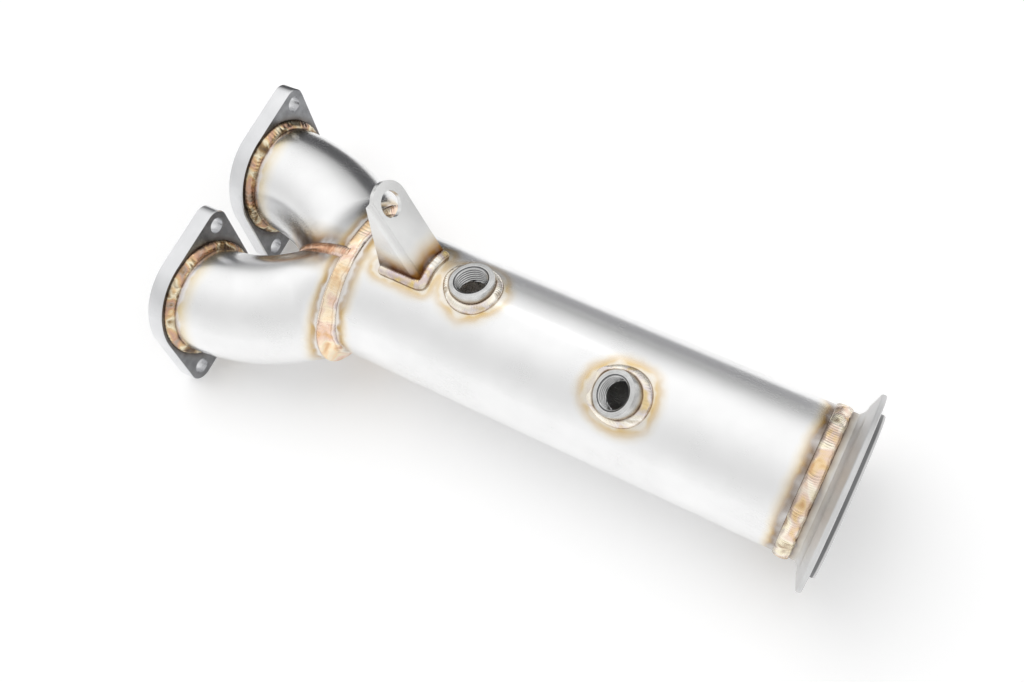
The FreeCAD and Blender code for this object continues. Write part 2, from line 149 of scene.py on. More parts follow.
def new_material(name):
    """A metal material with its principled shader, ready for links."""
    material, tree = bare_material(name)
    shader = add_node(tree, "ShaderNodeBsdfPrincipled", {"Metallic": 1.0})
    add_node(tree, "ShaderNodeOutputMaterial", {"Surface": shader.outputs["BSDF"]})
    return material, tree, shader


def set_stops(ramp, stops):
    """Gives a colour ramp its stops: (place from 0 to 1, RGBA)."""
    while len(ramp.elements) < len(stops):
        ramp.elements.new(0.5)
    for element, (place, colour) in zip(ramp.elements, stops):
        element.position = place
        element.color = colour


def object_point(tree):
    """The place on the piece that every pattern starts from."""
    return add_node(tree, "ShaderNodeTexCoord").outputs["Object"]


def right_hand_point(tree, point):
    """The point moved to the right-hand side of the part, so both legs share one material."""
    parts = add_node(tree, "ShaderNodeSeparateXYZ", {"Vector": point})
    size = add_node(tree, "ShaderNodeMath", {0: parts.outputs["Y"]}, operation="ABSOLUTE")
    side = add_node(tree, "ShaderNodeMath", {0: size.outputs[0], 1: -1.0}, operation="MULTIPLY")
    joined = add_node(tree, "ShaderNodeCombineXYZ",
                      {"X": parts.outputs["X"], "Y": side.outputs[0], "Z": parts.outputs["Z"]})
    return joined.outputs[0]


def from_plane(tree, point, origin, normal, toe=0.0):
    """Distance in millimetres from a plane, less the half width of its bead."""
    offset = add_node(tree, "ShaderNodeVectorMath", {0: point, 1: origin}, operation="SUBTRACT")
    height = add_node(tree, "ShaderNodeVectorMath", {0: offset.outputs[0], 1: normal},
                      operation="DOT_PRODUCT")
    size = add_node(tree, "ShaderNodeMath", {0: height.outputs["Value"]}, operation="ABSOLUTE")
    scaled = add_node(tree, "ShaderNodeMath", {0: size.outputs[0], 1: 1 / MM, 2: -toe / MM},
                      operation="MULTIPLY_ADD")
    return scaled.outputs[0]


def from_axis(tree, point, origin, axis, radius=0.0):
    """Distance in millimetres outside a cylinder round an axis."""
    offset = add_node(tree, "ShaderNodeVectorMath", {0: point, 1: origin}, operation="SUBTRACT")
    turned = add_node(tree, "ShaderNodeVectorMath", {0: offset.outputs[0], 1: axis},
                      operation="CROSS_PRODUCT")
    size = add_node(tree, "ShaderNodeVectorMath", {0: turned.outputs[0]}, operation="LENGTH")
    scaled = add_node(tree, "ShaderNodeMath", {0: size.outputs["Value"], 1: 1 / MM, 2: -radius / MM},
                      operation="MULTIPLY_ADD")
    return scaled.outputs[0]


def from_run(tree, point, start, end, toe=0.0):
    """Distance in millimetres from a straight run of bead."""
    along = end - start
    offset = add_node(tree, "ShaderNodeVectorMath", {0: point, 1: start}, operation="SUBTRACT")
    reach = add_node(tree, "ShaderNodeVectorMath", {0: offset.outputs[0], 1: along},
                     operation="DOT_PRODUCT")
    share = add_node(tree, "ShaderNodeMath", {0: reach.outputs["Value"], 1: 1 / along.length_squared},
                     operation="MULTIPLY", use_clamp=True)
    foot = add_node(tree, "ShaderNodeVectorMath", {0: along, "Scale": share.outputs[0]}, operation="SCALE")
    gap = add_node(tree, "ShaderNodeVectorMath", {0: offset.outputs[0], 1: foot.outputs[0]},
                   operation="DISTANCE")
    scaled = add_node(tree, "ShaderNodeMath", {0: gap.outputs["Value"], 1: 1 / MM, 2: -toe / MM},
                      operation="MULTIPLY_ADD")
    return scaled.outputs[0]


def from_bracket_bead(tree, point, toe):
    """Distance in millimetres from the bead along the foot of the bracket."""
    line = bracket_foot_line()
    runs = [from_run(tree, point, start, end, toe) for start, end in zip(line, line[1:])]
    closest = runs[0]
    for run in runs[1:]:
        closest = add_node(tree, "ShaderNodeMath", {0: closest, 1: run}, operation="MINIMUM").outputs[0]
    return closest


def from_joint(tree, point, x, toe):
    """Distance in millimetres from a girth bead of the main pipe."""
    return from_plane(tree, point, DOWNSTREAM * x, DOWNSTREAM, toe)


TINT_REACH_MM = 16.0
DRIFT_MM = 7.0

# colours of the oxide film, in millimetres from the toe of a bead: (distance, colour, cover)
GIRTH_TINT = ((0, "#BFAE9C", 0.55), (1.2, "#CDBFAE", 0.4), (2.4, "#AC8A54", 0.65), (3.8, "#B8954E", 0.7),
              (5.4, "#D2B67C", 0.5), (7.5, "#E6DAC0", 0.25), (10, "#E9E6DF", 0))
LEG_END_TINT = ((0, "#C4B0B0", 0.6), (1.5, "#D8C8B8", 0.45), (3, "#D9C18C", 0.6), (5.5, "#E0CC9C", 0.5),
                (9, "#EADFC6", 0.25), (13, "#E9E6DF", 0))
# oxide film along the seam between the legs, made darker and wider than the oxide alone as painted shade of
# the gap between them
SEAM_OXIDE_AND_SHADE = ((0, "#6A5240", 0.85), (2.0, "#74583C", 0.8), (4.0, "#957346", 0.7), (6.5, "#B69A6C", 0.5),
             (10, "#C4B8A4", 0.3), (14, "#E9E6DF", 0))
OUTLET_TINT = ((0, "#85766A", 0.8), (2.2, "#836E5A", 0.8), (3.6, "#A4803F", 0.7), (5.0, "#C9AA66", 0.5),
               (7, "#E2D0A8", 0.25), (9.5, "#E9E6DF", 0))
FLANK_TINT = ((0, "#6E5A48", 0.8), (1.0, "#A08A6C", 0.6), (2.5, "#C9BEAA", 0.45), (5, "#DCDCDC", 0.2),
              (8, "#E9E6DF", 0))
HALO_TINT = ((0, "#D2C2AC", 0.6), (1.5, "#DDCCA8", 0.5), (3.2, "#D4B67C", 0.65), (4.8, "#D0B484", 0.5),
             (6.4, "#DCCDB0", 0.25), (9, "#E9E6DF", 0))
PLATE_TINT = ((0, "#3E2412", 0.95), (2.2, "#5E3A1A", 0.93), (4.6, "#8C6432", 0.85), (8, "#B8965E", 0.6),
              (12.5, "#DDD0B4", 0.25), (16, "#E9E6DF", 0))

# oxide film round each leg on the welded side of an inlet flange, laid over that side's painted shade and
# fading into its dark grey: (distance, colour, cover)
SHADED_FACE_TINT = ((0, "#3E342C", 0.8), (1.2, "#54483C", 0.5), (3, "#6C6862", 0.2), (5, "#7C7C7C", 0))
FOOT_TINT = ((0, "#4A3826", 0.95), (3.4, "#6B5030", 0.85), (4.6, "#8E7448", 0.55), (6, "#B2A68E", 0.15),
             (7.5, "#B4B5B6", 0))


def heat_tinted(tree, point, colour, distance, stops):
    """The colour with an oxide film over it. Slow noise moves the film's edge and thins it in places."""
    drift = add_node(tree, "ShaderNodeTexNoise", {"Vector": point, "Scale": 1 / (11 * MM), "Detail": 2.0})
    moved = add_node(tree, "ShaderNodeMath", {0: drift.outputs["Fac"], 1: DRIFT_MM, 2: -DRIFT_MM / 2},
                     operation="MULTIPLY_ADD")
    reach = add_node(tree, "ShaderNodeMath", {0: distance, 1: moved.outputs[0]}, operation="ADD")
    share = add_node(tree, "ShaderNodeMath", {0: reach.outputs[0], 1: 1 / TINT_REACH_MM},
                     operation="MULTIPLY", use_clamp=True)
    film = add_node(tree, "ShaderNodeValToRGB", {"Fac": share.outputs[0]})
    set_stops(film.color_ramp, [(place / TINT_REACH_MM, linear(hex_colour)[:3] + [cover])
                                for place, hex_colour, cover in stops])
    uneven = add_node(tree, "ShaderNodeMath", {0: drift.outputs["Fac"], 1: 2.0}, operation="MULTIPLY")
    cover = add_node(tree, "ShaderNodeMath", {0: film.outputs["Alpha"], 1: uneven.outputs[0]},
                     operation="MULTIPLY", use_clamp=True)
    mixed = add_node(tree, "ShaderNodeMix", {0: cover.outputs[0], 6: colour, 7: film.outputs["Color"]},
                     data_type="RGBA")
    return mixed.outputs[2]


def satin_surface(tree, shader, point, finish, stretch, grain_mm):
    """Fine abrasive grain. Real scratches are about 0.05 mm wide; these are coarser so that they show."""
    mapping = add_node(tree, "ShaderNodeMapping", {"Vector": point, "Scale": stretch})
    grain = add_node(tree, "ShaderNodeTexNoise",
                     {"Vector": mapping.outputs[0], "Scale": 1 / (grain_mm * MM),
                      "Detail": 3.0, "Roughness": 0.6})
    cloud = add_node(tree, "ShaderNodeTexNoise", {"Vector": point, "Scale": 1 / (22 * MM), "Detail": 3.0})
    rough = add_node(tree, "ShaderNodeMapRange",
                     {"Value": grain.outputs["Fac"], "From Min": 0.3, "From Max": 0.7,
                      "To Min": finish.roughness - 0.02, "To Max": finish.roughness + 0.02})
    shift = add_node(tree, "ShaderNodeMath", {0: cloud.outputs["Fac"], 1: 0.12, 2: rough.outputs[0]},
                     operation="MULTIPLY_ADD")
    even = add_node(tree, "ShaderNodeMath", {0: shift.outputs[0], 1: 0.06}, operation="SUBTRACT")
    tree.links.new(even.outputs[0], shader.inputs["Roughness"])
    bump = add_node(tree, "ShaderNodeBump", {"Height": grain.outputs["Fac"], "Strength": finish.grain,
                                             "Distance": 0.02 * MM})
    tree.links.new(bump.outputs[0], shader.inputs["Normal"])
    return cloud.outputs["Fac"]


def marked(tree, shader, marks, smooth, dull, strength, depth):
    """Marks on the surface: noise that changes the roughness from smooth to dull and dents the steel."""
    rough = add_node(tree, "ShaderNodeMapRange",
                     {"Value": marks, "From Min": 0.3, "From Max": 0.7, "To Min": smooth, "To Max": dull})
    tree.links.new(rough.outputs[0], shader.inputs["Roughness"])
    bump = add_node(tree, "ShaderNodeBump", {"Height": marks, "Strength": strength, "Distance": depth})
    tree.links.new(bump.outputs[0], shader.inputs["Normal"])


def clouded(tree, cloud, light, dark):
    """Base steel colour, a little darker where slow noise says."""
    mixed = add_node(tree, "ShaderNodeMix", {0: cloud, 6: linear(light), 7: linear(dark)},
                     data_type="RGBA")
    return mixed.outputs[2]


# Materials

def satin_tube(name, finish, legs):
    """Stainless tube, rubbed to a satin with fine abrasive: pale, soft, straw to brown beside welds; on the
    legs the tint along their seam is darkened as painted shade.
    """
    material, tree, shader = new_material(name)
    point = object_point(tree)
    cloud = satin_surface(tree, shader, point, finish, (0.12, 1, 1), 0.5)
    colour = clouded(tree, cloud, "#F0F0F0", "#E0E0E0")
    if legs:
        folded = right_hand_point(tree, point)
        at_flange = from_plane(tree, folded, RIGHT_LEG_START, LEG_AHEAD, 4 * MM)
        colour = heat_tinted(tree, point, colour, at_flange, LEG_END_TINT)
        # Along the seam between the legs: heat tint, darkened as painted shade of the gap between them.
        beside = from_plane(tree, point, ORIGIN, MIDDLE_PLANE, 2.4 * MM)
        along = add_node(tree, "ShaderNodeSeparateXYZ", {"Vector": point})
        before = add_node(tree, "ShaderNodeMath",
                          {0: along.outputs["X"], 1: -1 / MM, 2: SEAM_START_X / MM},
                          operation="MULTIPLY_ADD")
        at_seam = add_node(tree, "ShaderNodeMath", {0: beside, 1: before.outputs[0]}, operation="MAXIMUM")
        colour = heat_tinted(tree, point, colour, at_seam.outputs[0], SEAM_OXIDE_AND_SHADE)
        at_joint = from_joint(tree, point, JUNCTION_X, 4.2 * MM)
        colour = heat_tinted(tree, point, colour, at_joint, GIRTH_TINT)
    else:
        for bung in BUNG_SEATS:
            foot, axis = bung_seat(bung)
            halo = from_axis(tree, point, foot, axis, BUNG_TOE_R - 1 * MM)
            upward = Vector((0, foot.y, foot.z)).normalized()
            height = add_node(tree, "ShaderNodeVectorMath", {0: point, 1: upward}, operation="DOT_PRODUCT")
            beyond = add_node(tree, "ShaderNodeMath", {0: height.outputs["Value"], 1: -1 / MM},
                              operation="MULTIPLY")
            same_side = add_node(tree, "ShaderNodeMath", {0: halo, 1: beyond.outputs[0]},
                                 operation="MAXIMUM")
            colour = heat_tinted(tree, point, colour, same_side.outputs[0], HALO_TINT)
        at_bracket = from_bracket_bead(tree, point, 2.2 * MM)
        colour = heat_tinted(tree, point, colour, at_bracket, HALO_TINT)
        at_joint = from_joint(tree, point, JUNCTION_X, 4.2 * MM)
        colour = heat_tinted(tree, point, colour, at_joint, GIRTH_TINT)
        at_outlet = from_joint(tree, point, OUTLET_JOINT_X, 3.8 * MM)
        colour = heat_tinted(tree, point, colour, at_outlet, OUTLET_TINT)
    tree.links.new(colour, shader.inputs["Base Color"])
    return material


def milled_plate(name, finish):
    """Stainless plate: bright cut edges and sealing face; the welded side, which faces the pipe, is a dull
    dark mottled grey that is painted shade.
    """
    material, tree, shader = new_material(name)
    point = object_point(tree)
    cloud = satin_surface(tree, shader, point, finish, (1, 0.3, 0.3), 0.7)
    edge = clouded(tree, cloud, "#E6E6E7", "#C2C3C5")
    # Painted shade: the dark mottled grey named scale below stands in for the shade on the welded side of
    # the plate; faces turned along the legs, towards the pipe, get it instead of the bright steel.
    mottle = add_node(tree, "ShaderNodeTexNoise", {"Vector": point, "Scale": 1 / (5 * MM), "Detail": 4.0})
    scale = clouded(tree, mottle.outputs["Fac"], "#9A9B9D", "#5E5F62")
    folded = right_hand_point(tree, point)
    round_leg = from_axis(tree, folded, RIGHT_LEG_START, LEG_AHEAD, LEG_R + 4 * MM)
    scale = heat_tinted(tree, point, scale, round_leg, SHADED_FACE_TINT)
    normal = add_node(tree, "ShaderNodeNewGeometry").outputs["True Normal"]
    facing = add_node(tree, "ShaderNodeVectorMath", {0: normal, 1: LEG_AHEAD}, operation="DOT_PRODUCT")
    painted_shade_side = add_node(tree, "ShaderNodeMapRange", {"Value": facing.outputs["Value"], "From Min": 0.8,
                                                        "From Max": 0.95})
    both = add_node(tree, "ShaderNodeMix", {0: painted_shade_side.outputs[0], 6: edge, 7: scale},
                    data_type="RGBA")
    tree.links.new(both.outputs[2], shader.inputs["Base Color"])
    return material


def turned_flange(name, finish):
    """Stainless turned from bar: bright, with fine rings about its axis, browned beside the girth bead, with
    painted shade on the side of its register lip.
    """
    material, tree, shader = new_material(name)
    point = object_point(tree)
    radius = from_axis(tree, point, ORIGIN, DOWNSTREAM)
    # measured from far behind the part, so that it never changes sign
    along = from_plane(tree, point, -DOWNSTREAM, DOWNSTREAM)
    cut = add_node(tree, "ShaderNodeMath", {0: radius, 1: along}, operation="ADD")
    rings = add_node(tree, "ShaderNodeTexNoise", {"W": cut.outputs[0], "Scale": 5.0, "Detail": 2.0},
                     noise_dimensions="1D")
    marked(tree, shader, rings.outputs["Fac"], finish.roughness + 0.22, finish.roughness + 0.34,
           0.25, 0.02 * MM)
    cloud = add_node(tree, "ShaderNodeTexNoise", {"Vector": point, "Scale": 1 / (15 * MM)})
    colour = clouded(tree, cloud.outputs["Fac"], "#DCDCDC", "#C4C4C4")
    ahead = add_node(tree, "ShaderNodeSeparateXYZ", {"Vector": point})
    # Painted shade: a dark grey band on the side of the register lip, from 0.1 to 2.1 mm ahead of the face,
    # stands in for the shade in the groove there.
    lip = add_node(tree, "ShaderNodeMapRange",
                   {"Value": ahead.outputs["X"], "From Min": 0.1 * MM, "From Max": 0.3 * MM, "To Max": 0.75})
    cleared = add_node(tree, "ShaderNodeMapRange",
                       {"Value": ahead.outputs["X"], "From Min": 1.8 * MM, "From Max": 2.1 * MM,
                        "To Min": 1.0, "To Max": 0.0})
    lip_painted_shade = add_node(tree, "ShaderNodeMath", {0: lip.outputs[0], 1: cleared.outputs[0]},
                        operation="MULTIPLY")
    lip_shaded = add_node(tree, "ShaderNodeMix", {0: lip_painted_shade.outputs[0], 6: colour, 7: linear("#4A4B4D")},
                      data_type="RGBA")
    colour = lip_shaded.outputs[2]
    at_joint = from_joint(tree, point, OUTLET_JOINT_X, 4.0 * MM)
    colour = heat_tinted(tree, point, colour, at_joint, FLANK_TINT)
    tree.links.new(colour, shader.inputs["Base Color"])
    return material


def turned_bung(name, finish, bung):
    """Stainless turned on a lathe: light grey with ring marks, painted shade in the thread's grooves, brown
    near its foot.
    """
    material, tree, shader = new_material(name)
    foot, axis = bung_seat(bung)
    point = object_point(tree)
    radius = from_axis(tree, point, foot, axis)
    rings = add_node(tree, "ShaderNodeTexNoise", {"W": radius, "Scale": 4.0, "Detail": 2.0},
                     noise_dimensions="1D")
    marked(tree, shader, rings.outputs["Fac"], finish.roughness - 0.06, finish.roughness + 0.06,
           0.3, 0.03 * MM)
    cloud = add_node(tree, "ShaderNodeTexNoise", {"Vector": point, "Scale": 1 / (4 * MM), "Detail": 3.0})
    colour = clouded(tree, cloud.outputs["Fac"], "#DEDEDD", "#AEAEAD")
    # Painted shade: the deeper a place lies in the thread's groove, inside the bore, the darker grey it is.
    groove = add_node(tree, "ShaderNodeMapRange",
                      {"Value": radius, "From Min": 8.2, "From Max": 8.75, "To Max": 0.95})
    in_bore = add_node(tree, "ShaderNodeMath", {0: radius, 1: 9.1}, operation="LESS_THAN")
    painted_groove_shade = add_node(tree, "ShaderNodeMath", {0: groove.outputs[0], 1: in_bore.outputs[0]},
                      operation="MULTIPLY")
    threaded = add_node(tree, "ShaderNodeMix", {0: painted_groove_shade.outputs[0], 6: colour, 7: linear("#3E3F42")},
                        data_type="RGBA")
    above_pipe = from_axis(tree, point, ORIGIN, DOWNSTREAM, PIPE_R)
    inward = add_node(tree, "ShaderNodeMath", {0: radius, 1: -8.0, 2: BUNG_R / MM * 8},
                      operation="MULTIPLY_ADD")
    outside = add_node(tree, "ShaderNodeMath", {0: above_pipe, 1: inward.outputs[0]}, operation="MAXIMUM")
    colour = heat_tinted(tree, point, threaded.outputs[2], outside.outputs[0], FOOT_TINT)
    tree.links.new(colour, shader.inputs["Base Color"])
    return material


def folded_sheet(name, finish):
    """Cold rolled stainless sheet, folded: even satin, a painted highlight along the fold, brown and gold at
    the foot from the weld.
    """
    material, tree, shader = new_material(name)
    point = object_point(tree)
    cloud = satin_surface(tree, shader, point, finish, (1, 1, 0.15), 0.45)
    colour = clouded(tree, cloud, "#E4E4E3", "#D2D2D1")
    # Painted highlight: a near-white line along the fold, strongest within 0.3 mm of it and gone by 0.9 mm.
    corner = bracket_foot_line()[1]
    out, _ = around_pipe(BRACKET_CLOCK_DEG)
    lean = math.radians(BRACKET_LEAN_DEG)
    fold_end = corner + (out * math.cos(lean) - DOWNSTREAM * math.sin(lean)) * 40 * MM
    fold = from_run(tree, point, corner, fold_end)
    bright = add_node(tree, "ShaderNodeMapRange",
                      {"Value": fold, "From Min": 0.3, "From Max": 0.9, "To Min": 0.7, "To Max": 0.0})
    folded = add_node(tree, "ShaderNodeMix", {0: bright.outputs[0], 6: colour, 7: linear("#FFFFFF")},
                      data_type="RGBA")
    at_foot = from_bracket_bead(tree, point, 1.6 * MM)
    colour = heat_tinted(tree, point, folded.outputs[2], at_foot, PLATE_TINT)
    tree.links.new(colour, shader.inputs["Base Color"])
    return material


BEAD_COLOURS = {
    "junction": ("#D4A67C", "#EDD2AC", "#F5E6CC", "#E8CCBC", "#DDB48C"),
    "outlet": ("#AE9880", "#EFE6CC", "#F3EADC", "#DFC6B8", "#E2C498", "#C2925E"),
    "flange": ("#54453A", "#8E7452", "#E6DDC2", "#D2B184", "#C49A84", "#A8988C", "#8A6A48"),
    "crotch": ("#C08A68", "#E2B694", "#D39E7C", "#EBD0B8", "#CB967A"),
    "bung": ("#B5A690", "#F5F1E8", "#EAE2D2", "#DCD4D2", "#D2BC90"),
    "bracket": ("#B99A5C", "#F4F2EC", "#E6DCCB", "#CDBFC4", "#DCC27C"),
}

# bands that run along a bead, mostly oxide, by place across it from -1 to 1: (place, colour, cover); the
# bung bead's dark brown edges are painted shade
BEAD_BANDS = {
    "junction": ((-1, "#A08A76", 0.6), (-0.84, "#D9CCC4", 0.3), (-0.7, "#94705E", 0.55),
                 (-0.56, "#EBCBA8", 0.1), (0.45, "#EFD2AA", 0.05), (0.62, "#A8836C", 0.45),
                 (0.76, "#EFE9E2", 0.4), (0.9, "#C3CCD8", 0.4), (1, "#8A8C98", 0.5)),
    "outlet": ((-1, "#77685C", 0.85), (-0.75, "#94867C", 0.65), (-0.5, "#D8C8A8", 0.15),
               (0.5, "#EAD9B0", 0.1), (0.76, "#9A7450", 0.5), (0.86, "#E0C490", 0.4), (1, "#6E5444", 0.8)),
    "flange": ((-1, "#5A483C", 0.85), (-0.7, "#8E7860", 0.3), (0, "#D8C8A8", 0), (0.6, "#A88C70", 0.3),
               (1, "#4E4038", 0.9)),
    "crotch": ((-1, "#B49A94", 0.7), (-0.72, "#E6D6CF", 0.5), (-0.45, "#D9A884", 0.1),
               (0.45, "#D9A884", 0.1), (0.72, "#E6D6CF", 0.5), (1, "#B49A94", 0.7)),
    # painted shade: dark brown in the crease where the bead meets the bung, and along its toe
    "bung": ((-1, "#54402E", 0.9), (-0.7, "#94785A", 0.5), (-0.4, "#E8DCC4", 0), (0.6, "#E8DCC4", 0),
             (0.85, "#D8CCD0", 0.4), (1, "#8E7C6C", 0.6)),
    "bracket": ((-1, "#7A6450", 0.7), (-0.75, "#C4B092", 0.3), (0, "#E8DCC4", 0), (0.75, "#C4B092", 0.3),
                (1, "#7A6450", 0.7)),
}


def weld_bead_steel(name, finish, kind):
    """Weld metal as it froze: glossy ripples under a thin oxide film, with brown in the valleys."""
    material, tree, shader = new_material(name)
    palette = BEAD_COLOURS[kind]
    point = object_point(tree)
    across = add_node(tree, "ShaderNodeAttribute", attribute_name="across").outputs["Fac"]
    valley = add_node(tree, "ShaderNodeAttribute", attribute_name="valley").outputs["Fac"]
    patch = add_node(tree, "ShaderNodeTexNoise", {"Vector": point, "Scale": 1 / (11 * MM), "Detail": 2.0,
                                                  "Distortion": 0.4})
    spread = add_node(tree, "ShaderNodeMapRange",
                      {"Value": patch.outputs["Fac"], "From Min": 0.3, "From Max": 0.7})
    film = add_node(tree, "ShaderNodeValToRGB", {"Fac": spread.outputs[0]})
    set_stops(film.color_ramp, [(place / (len(palette) - 1), linear(hex_colour))
                                for place, hex_colour in enumerate(palette)])
    wander = add_node(tree, "ShaderNodeTexNoise", {"Vector": point, "Scale": 1 / (6 * MM), "Detail": 2.0})
    shift = add_node(tree, "ShaderNodeMath", {0: wander.outputs["Fac"], 1: 0.7, 2: -0.35},
                     operation="MULTIPLY_ADD")
    moved = add_node(tree, "ShaderNodeMath", {0: across, 1: shift.outputs[0]}, operation="ADD")
    share = add_node(tree, "ShaderNodeMath", {0: moved.outputs[0], 1: 0.5, 2: 0.5},
                     operation="MULTIPLY_ADD")
    band = add_node(tree, "ShaderNodeValToRGB", {"Fac": share.outputs[0]})
    set_stops(band.color_ramp, [(place / 2 + 0.5, linear(hex_colour)[:3] + [cover])
                                for place, hex_colour, cover in BEAD_BANDS[kind]])
    broken = add_node(tree, "ShaderNodeMapRange",
                      {"Value": patch.outputs["Fac"], "From Min": 0.35, "From Max": 0.6,
                       "To Min": 0.45, "To Max": 1.15})
    cover = add_node(tree, "ShaderNodeMath", {0: band.outputs["Alpha"], 1: broken.outputs[0]},
                     operation="MULTIPLY", use_clamp=True)
    edged = add_node(tree, "ShaderNodeMix", {0: cover.outputs[0], 6: film.outputs["Color"],
                                             7: band.outputs["Color"]}, data_type="RGBA")
    depth = add_node(tree, "ShaderNodeMapRange",
                     {"Value": valley, "From Min": 0.45, "From Max": 1.0, "To Max": 0.6})
    grooved = add_node(tree, "ShaderNodeMix",
                       {0: depth.outputs[0], 6: edged.outputs[2], 7: linear("#6B4A34")}, data_type="RGBA")
    tree.links.new(grooved.outputs[2], shader.inputs["Base Color"])
    speck = add_node(tree, "ShaderNodeTexNoise", {"Vector": point, "Scale": 1 / (0.7 * MM), "Detail": 2.0})
    marked(tree, shader, speck.outputs["Fac"], finish.bead_roughness - 0.07, finish.bead_roughness + 0.1,
           0.35, 0.06 * MM)
    return material


def dress(material, *nodes):
    """Gives CAD nodes a material. Their meshes stay as they are."""
    for node in nodes:
        NODES[node].data.materials.clear()
        NODES[node].data.materials.append(material)


# Mesh building

def keep_piece(mesh, name, material, slot, *nodes):
    """Turns a finished bmesh into a piece that rides on the part, and hides the CAD nodes that it stands
    for.
    """
    data = bpy.data.meshes.new(name)
    mesh.to_mesh(data)
    mesh.free()
    data.shade_smooth()
    data.set_sharp_from_angle(angle=SHARP_ANGLE)
    data.materials.append(material)
    piece = bpy.data.objects.new(name, data)
    bpy.context.scene.collection.objects.link(piece)
    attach(piece, BODY)
    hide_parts(*nodes)


def spun_ring(profile, centre, axis, steps):
    """A closed ring. The profile's points are (along the axis, out from it)."""
    mesh = bmesh.new()
    side = axis.orthogonal().normalized()
    points = [mesh.verts.new(centre + axis * along + side * out) for along, out in profile]
    edges = [mesh.edges.new(pair) for pair in zip(points, points[1:] + points[:1])]
    bmesh.ops.spin(mesh, geom=points + edges, cent=centre, axis=axis, dvec=(0, 0, 0), angle=math.tau,
                   steps=steps, use_merge=True, use_duplicate=False)
    bmesh.ops.remove_doubles(mesh, verts=mesh.verts, dist=0.001 * MM)
    bmesh.ops.recalc_face_normals(mesh, faces=mesh.faces)
    return mesh


def crown(half_width, height, points):
    """Half-round crown of a bead over a flat foot: (across, up)."""
    steps = [math.pi * step / (points - 1) for step in range(points)]
    return [(-half_width * math.cos(step), height * math.sin(step) ** 0.8) for step in steps]


def frozen_ripple(along, across, look, seed):
    """Height and depth of groove of the stacked ripples at a place on a bead, both from 0 to 1."""
    wander = noise.noise(Vector((along / (11 * MM), seed, 0)))
    phase = along / look.pitch + look.bow * across ** 2 + 1.5 * wander
    arc = abs(math.sin(math.pi * phase))
    strength = max(0.1, min(1, 0.5 + 1.6 * noise.noise(Vector((along / (6 * MM), seed + 5, 0)))))
    return 1 - strength * (1 - arc), strength * (1 - arc)


def ripple_ring(mesh, centre, axis, look, seed, middle_out, measure):
    """Moves the crown of a ring in and out. measure gives (across from -1 to 1, share of the move, way)."""
    side = axis.orthogonal().normalized()
    other = axis.cross(side)
    across_layer = mesh.verts.layers.float.new("across")
    valley_layer = mesh.verts.layers.float.new("valley")
    for vertex in mesh.verts:
        offset = vertex.co - centre
        radial = offset - axis * offset.dot(axis)
        turn = math.atan2(radial.dot(other), radial.dot(side))
        across, lift, push = measure(offset.dot(axis), radial.length, radial.normalized())
        along = turn * middle_out
        near_seam = min(1, (math.pi - abs(turn)) * middle_out / (3 * MM))
        height, valley = frozen_ripple(along, across, look, seed)
        lump = noise.noise(Vector((math.cos(turn), math.sin(turn), seed)) * middle_out / look.lump_pitch)
        move = lift * near_seam * (look.depth * (height - 0.7) + look.lump * lump)
        vertex.co += push * move
        vertex[across_layer] = across
        vertex[valley_layer] = valley * near_seam * min(1, lift) * min(1, look.depth / (0.3 * MM))


class BeadLook:
    """Pitch, depth and bow of the ripples of one kind of bead, then pitch and height of its slower lumps.
    Lengths are given in millimetres."""

    def __init__(self, pitch, depth, bow, lump_pitch, lump):
        self.pitch = pitch * MM
        self.depth = depth * MM
        self.bow = bow
        self.lump_pitch = lump_pitch * MM
        self.lump = lump * MM


BEAD_LOOKS = {
    "junction": BeadLook(1.7, 0.17, 0.6, 8, 0.45),
    "outlet": BeadLook(1.3, 0.32, 1.1, 5, 0.6),
    "flange": BeadLook(2.7, 0.45, 0.5, 7, 0.35),
    "seal": BeadLook(1.8, 0.15, 0.4, 7, 0.1),
    "crotch": BeadLook(1.8, 0.3, 0.5, 8, 0.3),
    "bung": BeadLook(1.6, 0.2, 0.5, 5, 0.3),
    "bracket": BeadLook(1.7, 0.14, 0.5, 5, 0.35),
}


def legs_under(nodes):
    """Measures how far the outside of the CAD nodes lies from the X axis at a place along and round it."""
    trees = []
    for node in nodes:
        surface = bmesh.new()
        surface.from_mesh(NODES[node].data)
        trees.append(BVHTree.FromBMesh(surface))
        surface.free()
    reach = 80 * MM

    def radius_at(x, radial):
        hits = [tree.ray_cast(Vector((x, 0, 0)) + radial * reach, -radial, reach)[3] for tree in trees]
        found = [reach - hit for hit in hits if hit is not None]
        return max(found, default=PIPE_R)

    return radius_at


def drape(mesh, radius_at, x, half_width):
    """Lifts a girth bead onto the legs left of x, and eases that lift off over its right half."""
    for vertex in mesh.verts:
        radial = Vector((0, vertex.co.y, vertex.co.z))
        out = radial.length
        radial.normalize()
        under = max(radius_at(min(vertex.co.x, x), radial), PIPE_R - 1.5 * MM)
        past = max(0, vertex.co.x - x) / half_width
        lift = (under - PIPE_R) * (1 - min(1, past)) ** 2
        vertex.co = Vector((vertex.co.x, 0, 0)) + radial * (out + lift)


def girth_bead(x, half_width, height, look, seed):
    """A crowned bead right round the main pipe."""
    centre = Vector((x, 0, 0))
    sunk = PIPE_R - 0.8 * MM
    profile = [(across, PIPE_R + up) for across, up in crown(half_width, height, 13)]
    profile += [(half_width * 0.9, sunk), (-half_width * 0.9, sunk)]
    steps = int(math.tau * PIPE_R / look.pitch * 6)
    mesh = spun_ring(profile, centre, DOWNSTREAM, steps)

    def measure(along, out, radial):
        lift = max(0, min(1, (out - PIPE_R) / height))
        return along / half_width, lift, radial

    ripple_ring(mesh, centre, DOWNSTREAM, look, seed, PIPE_R, measure)
    return mesh


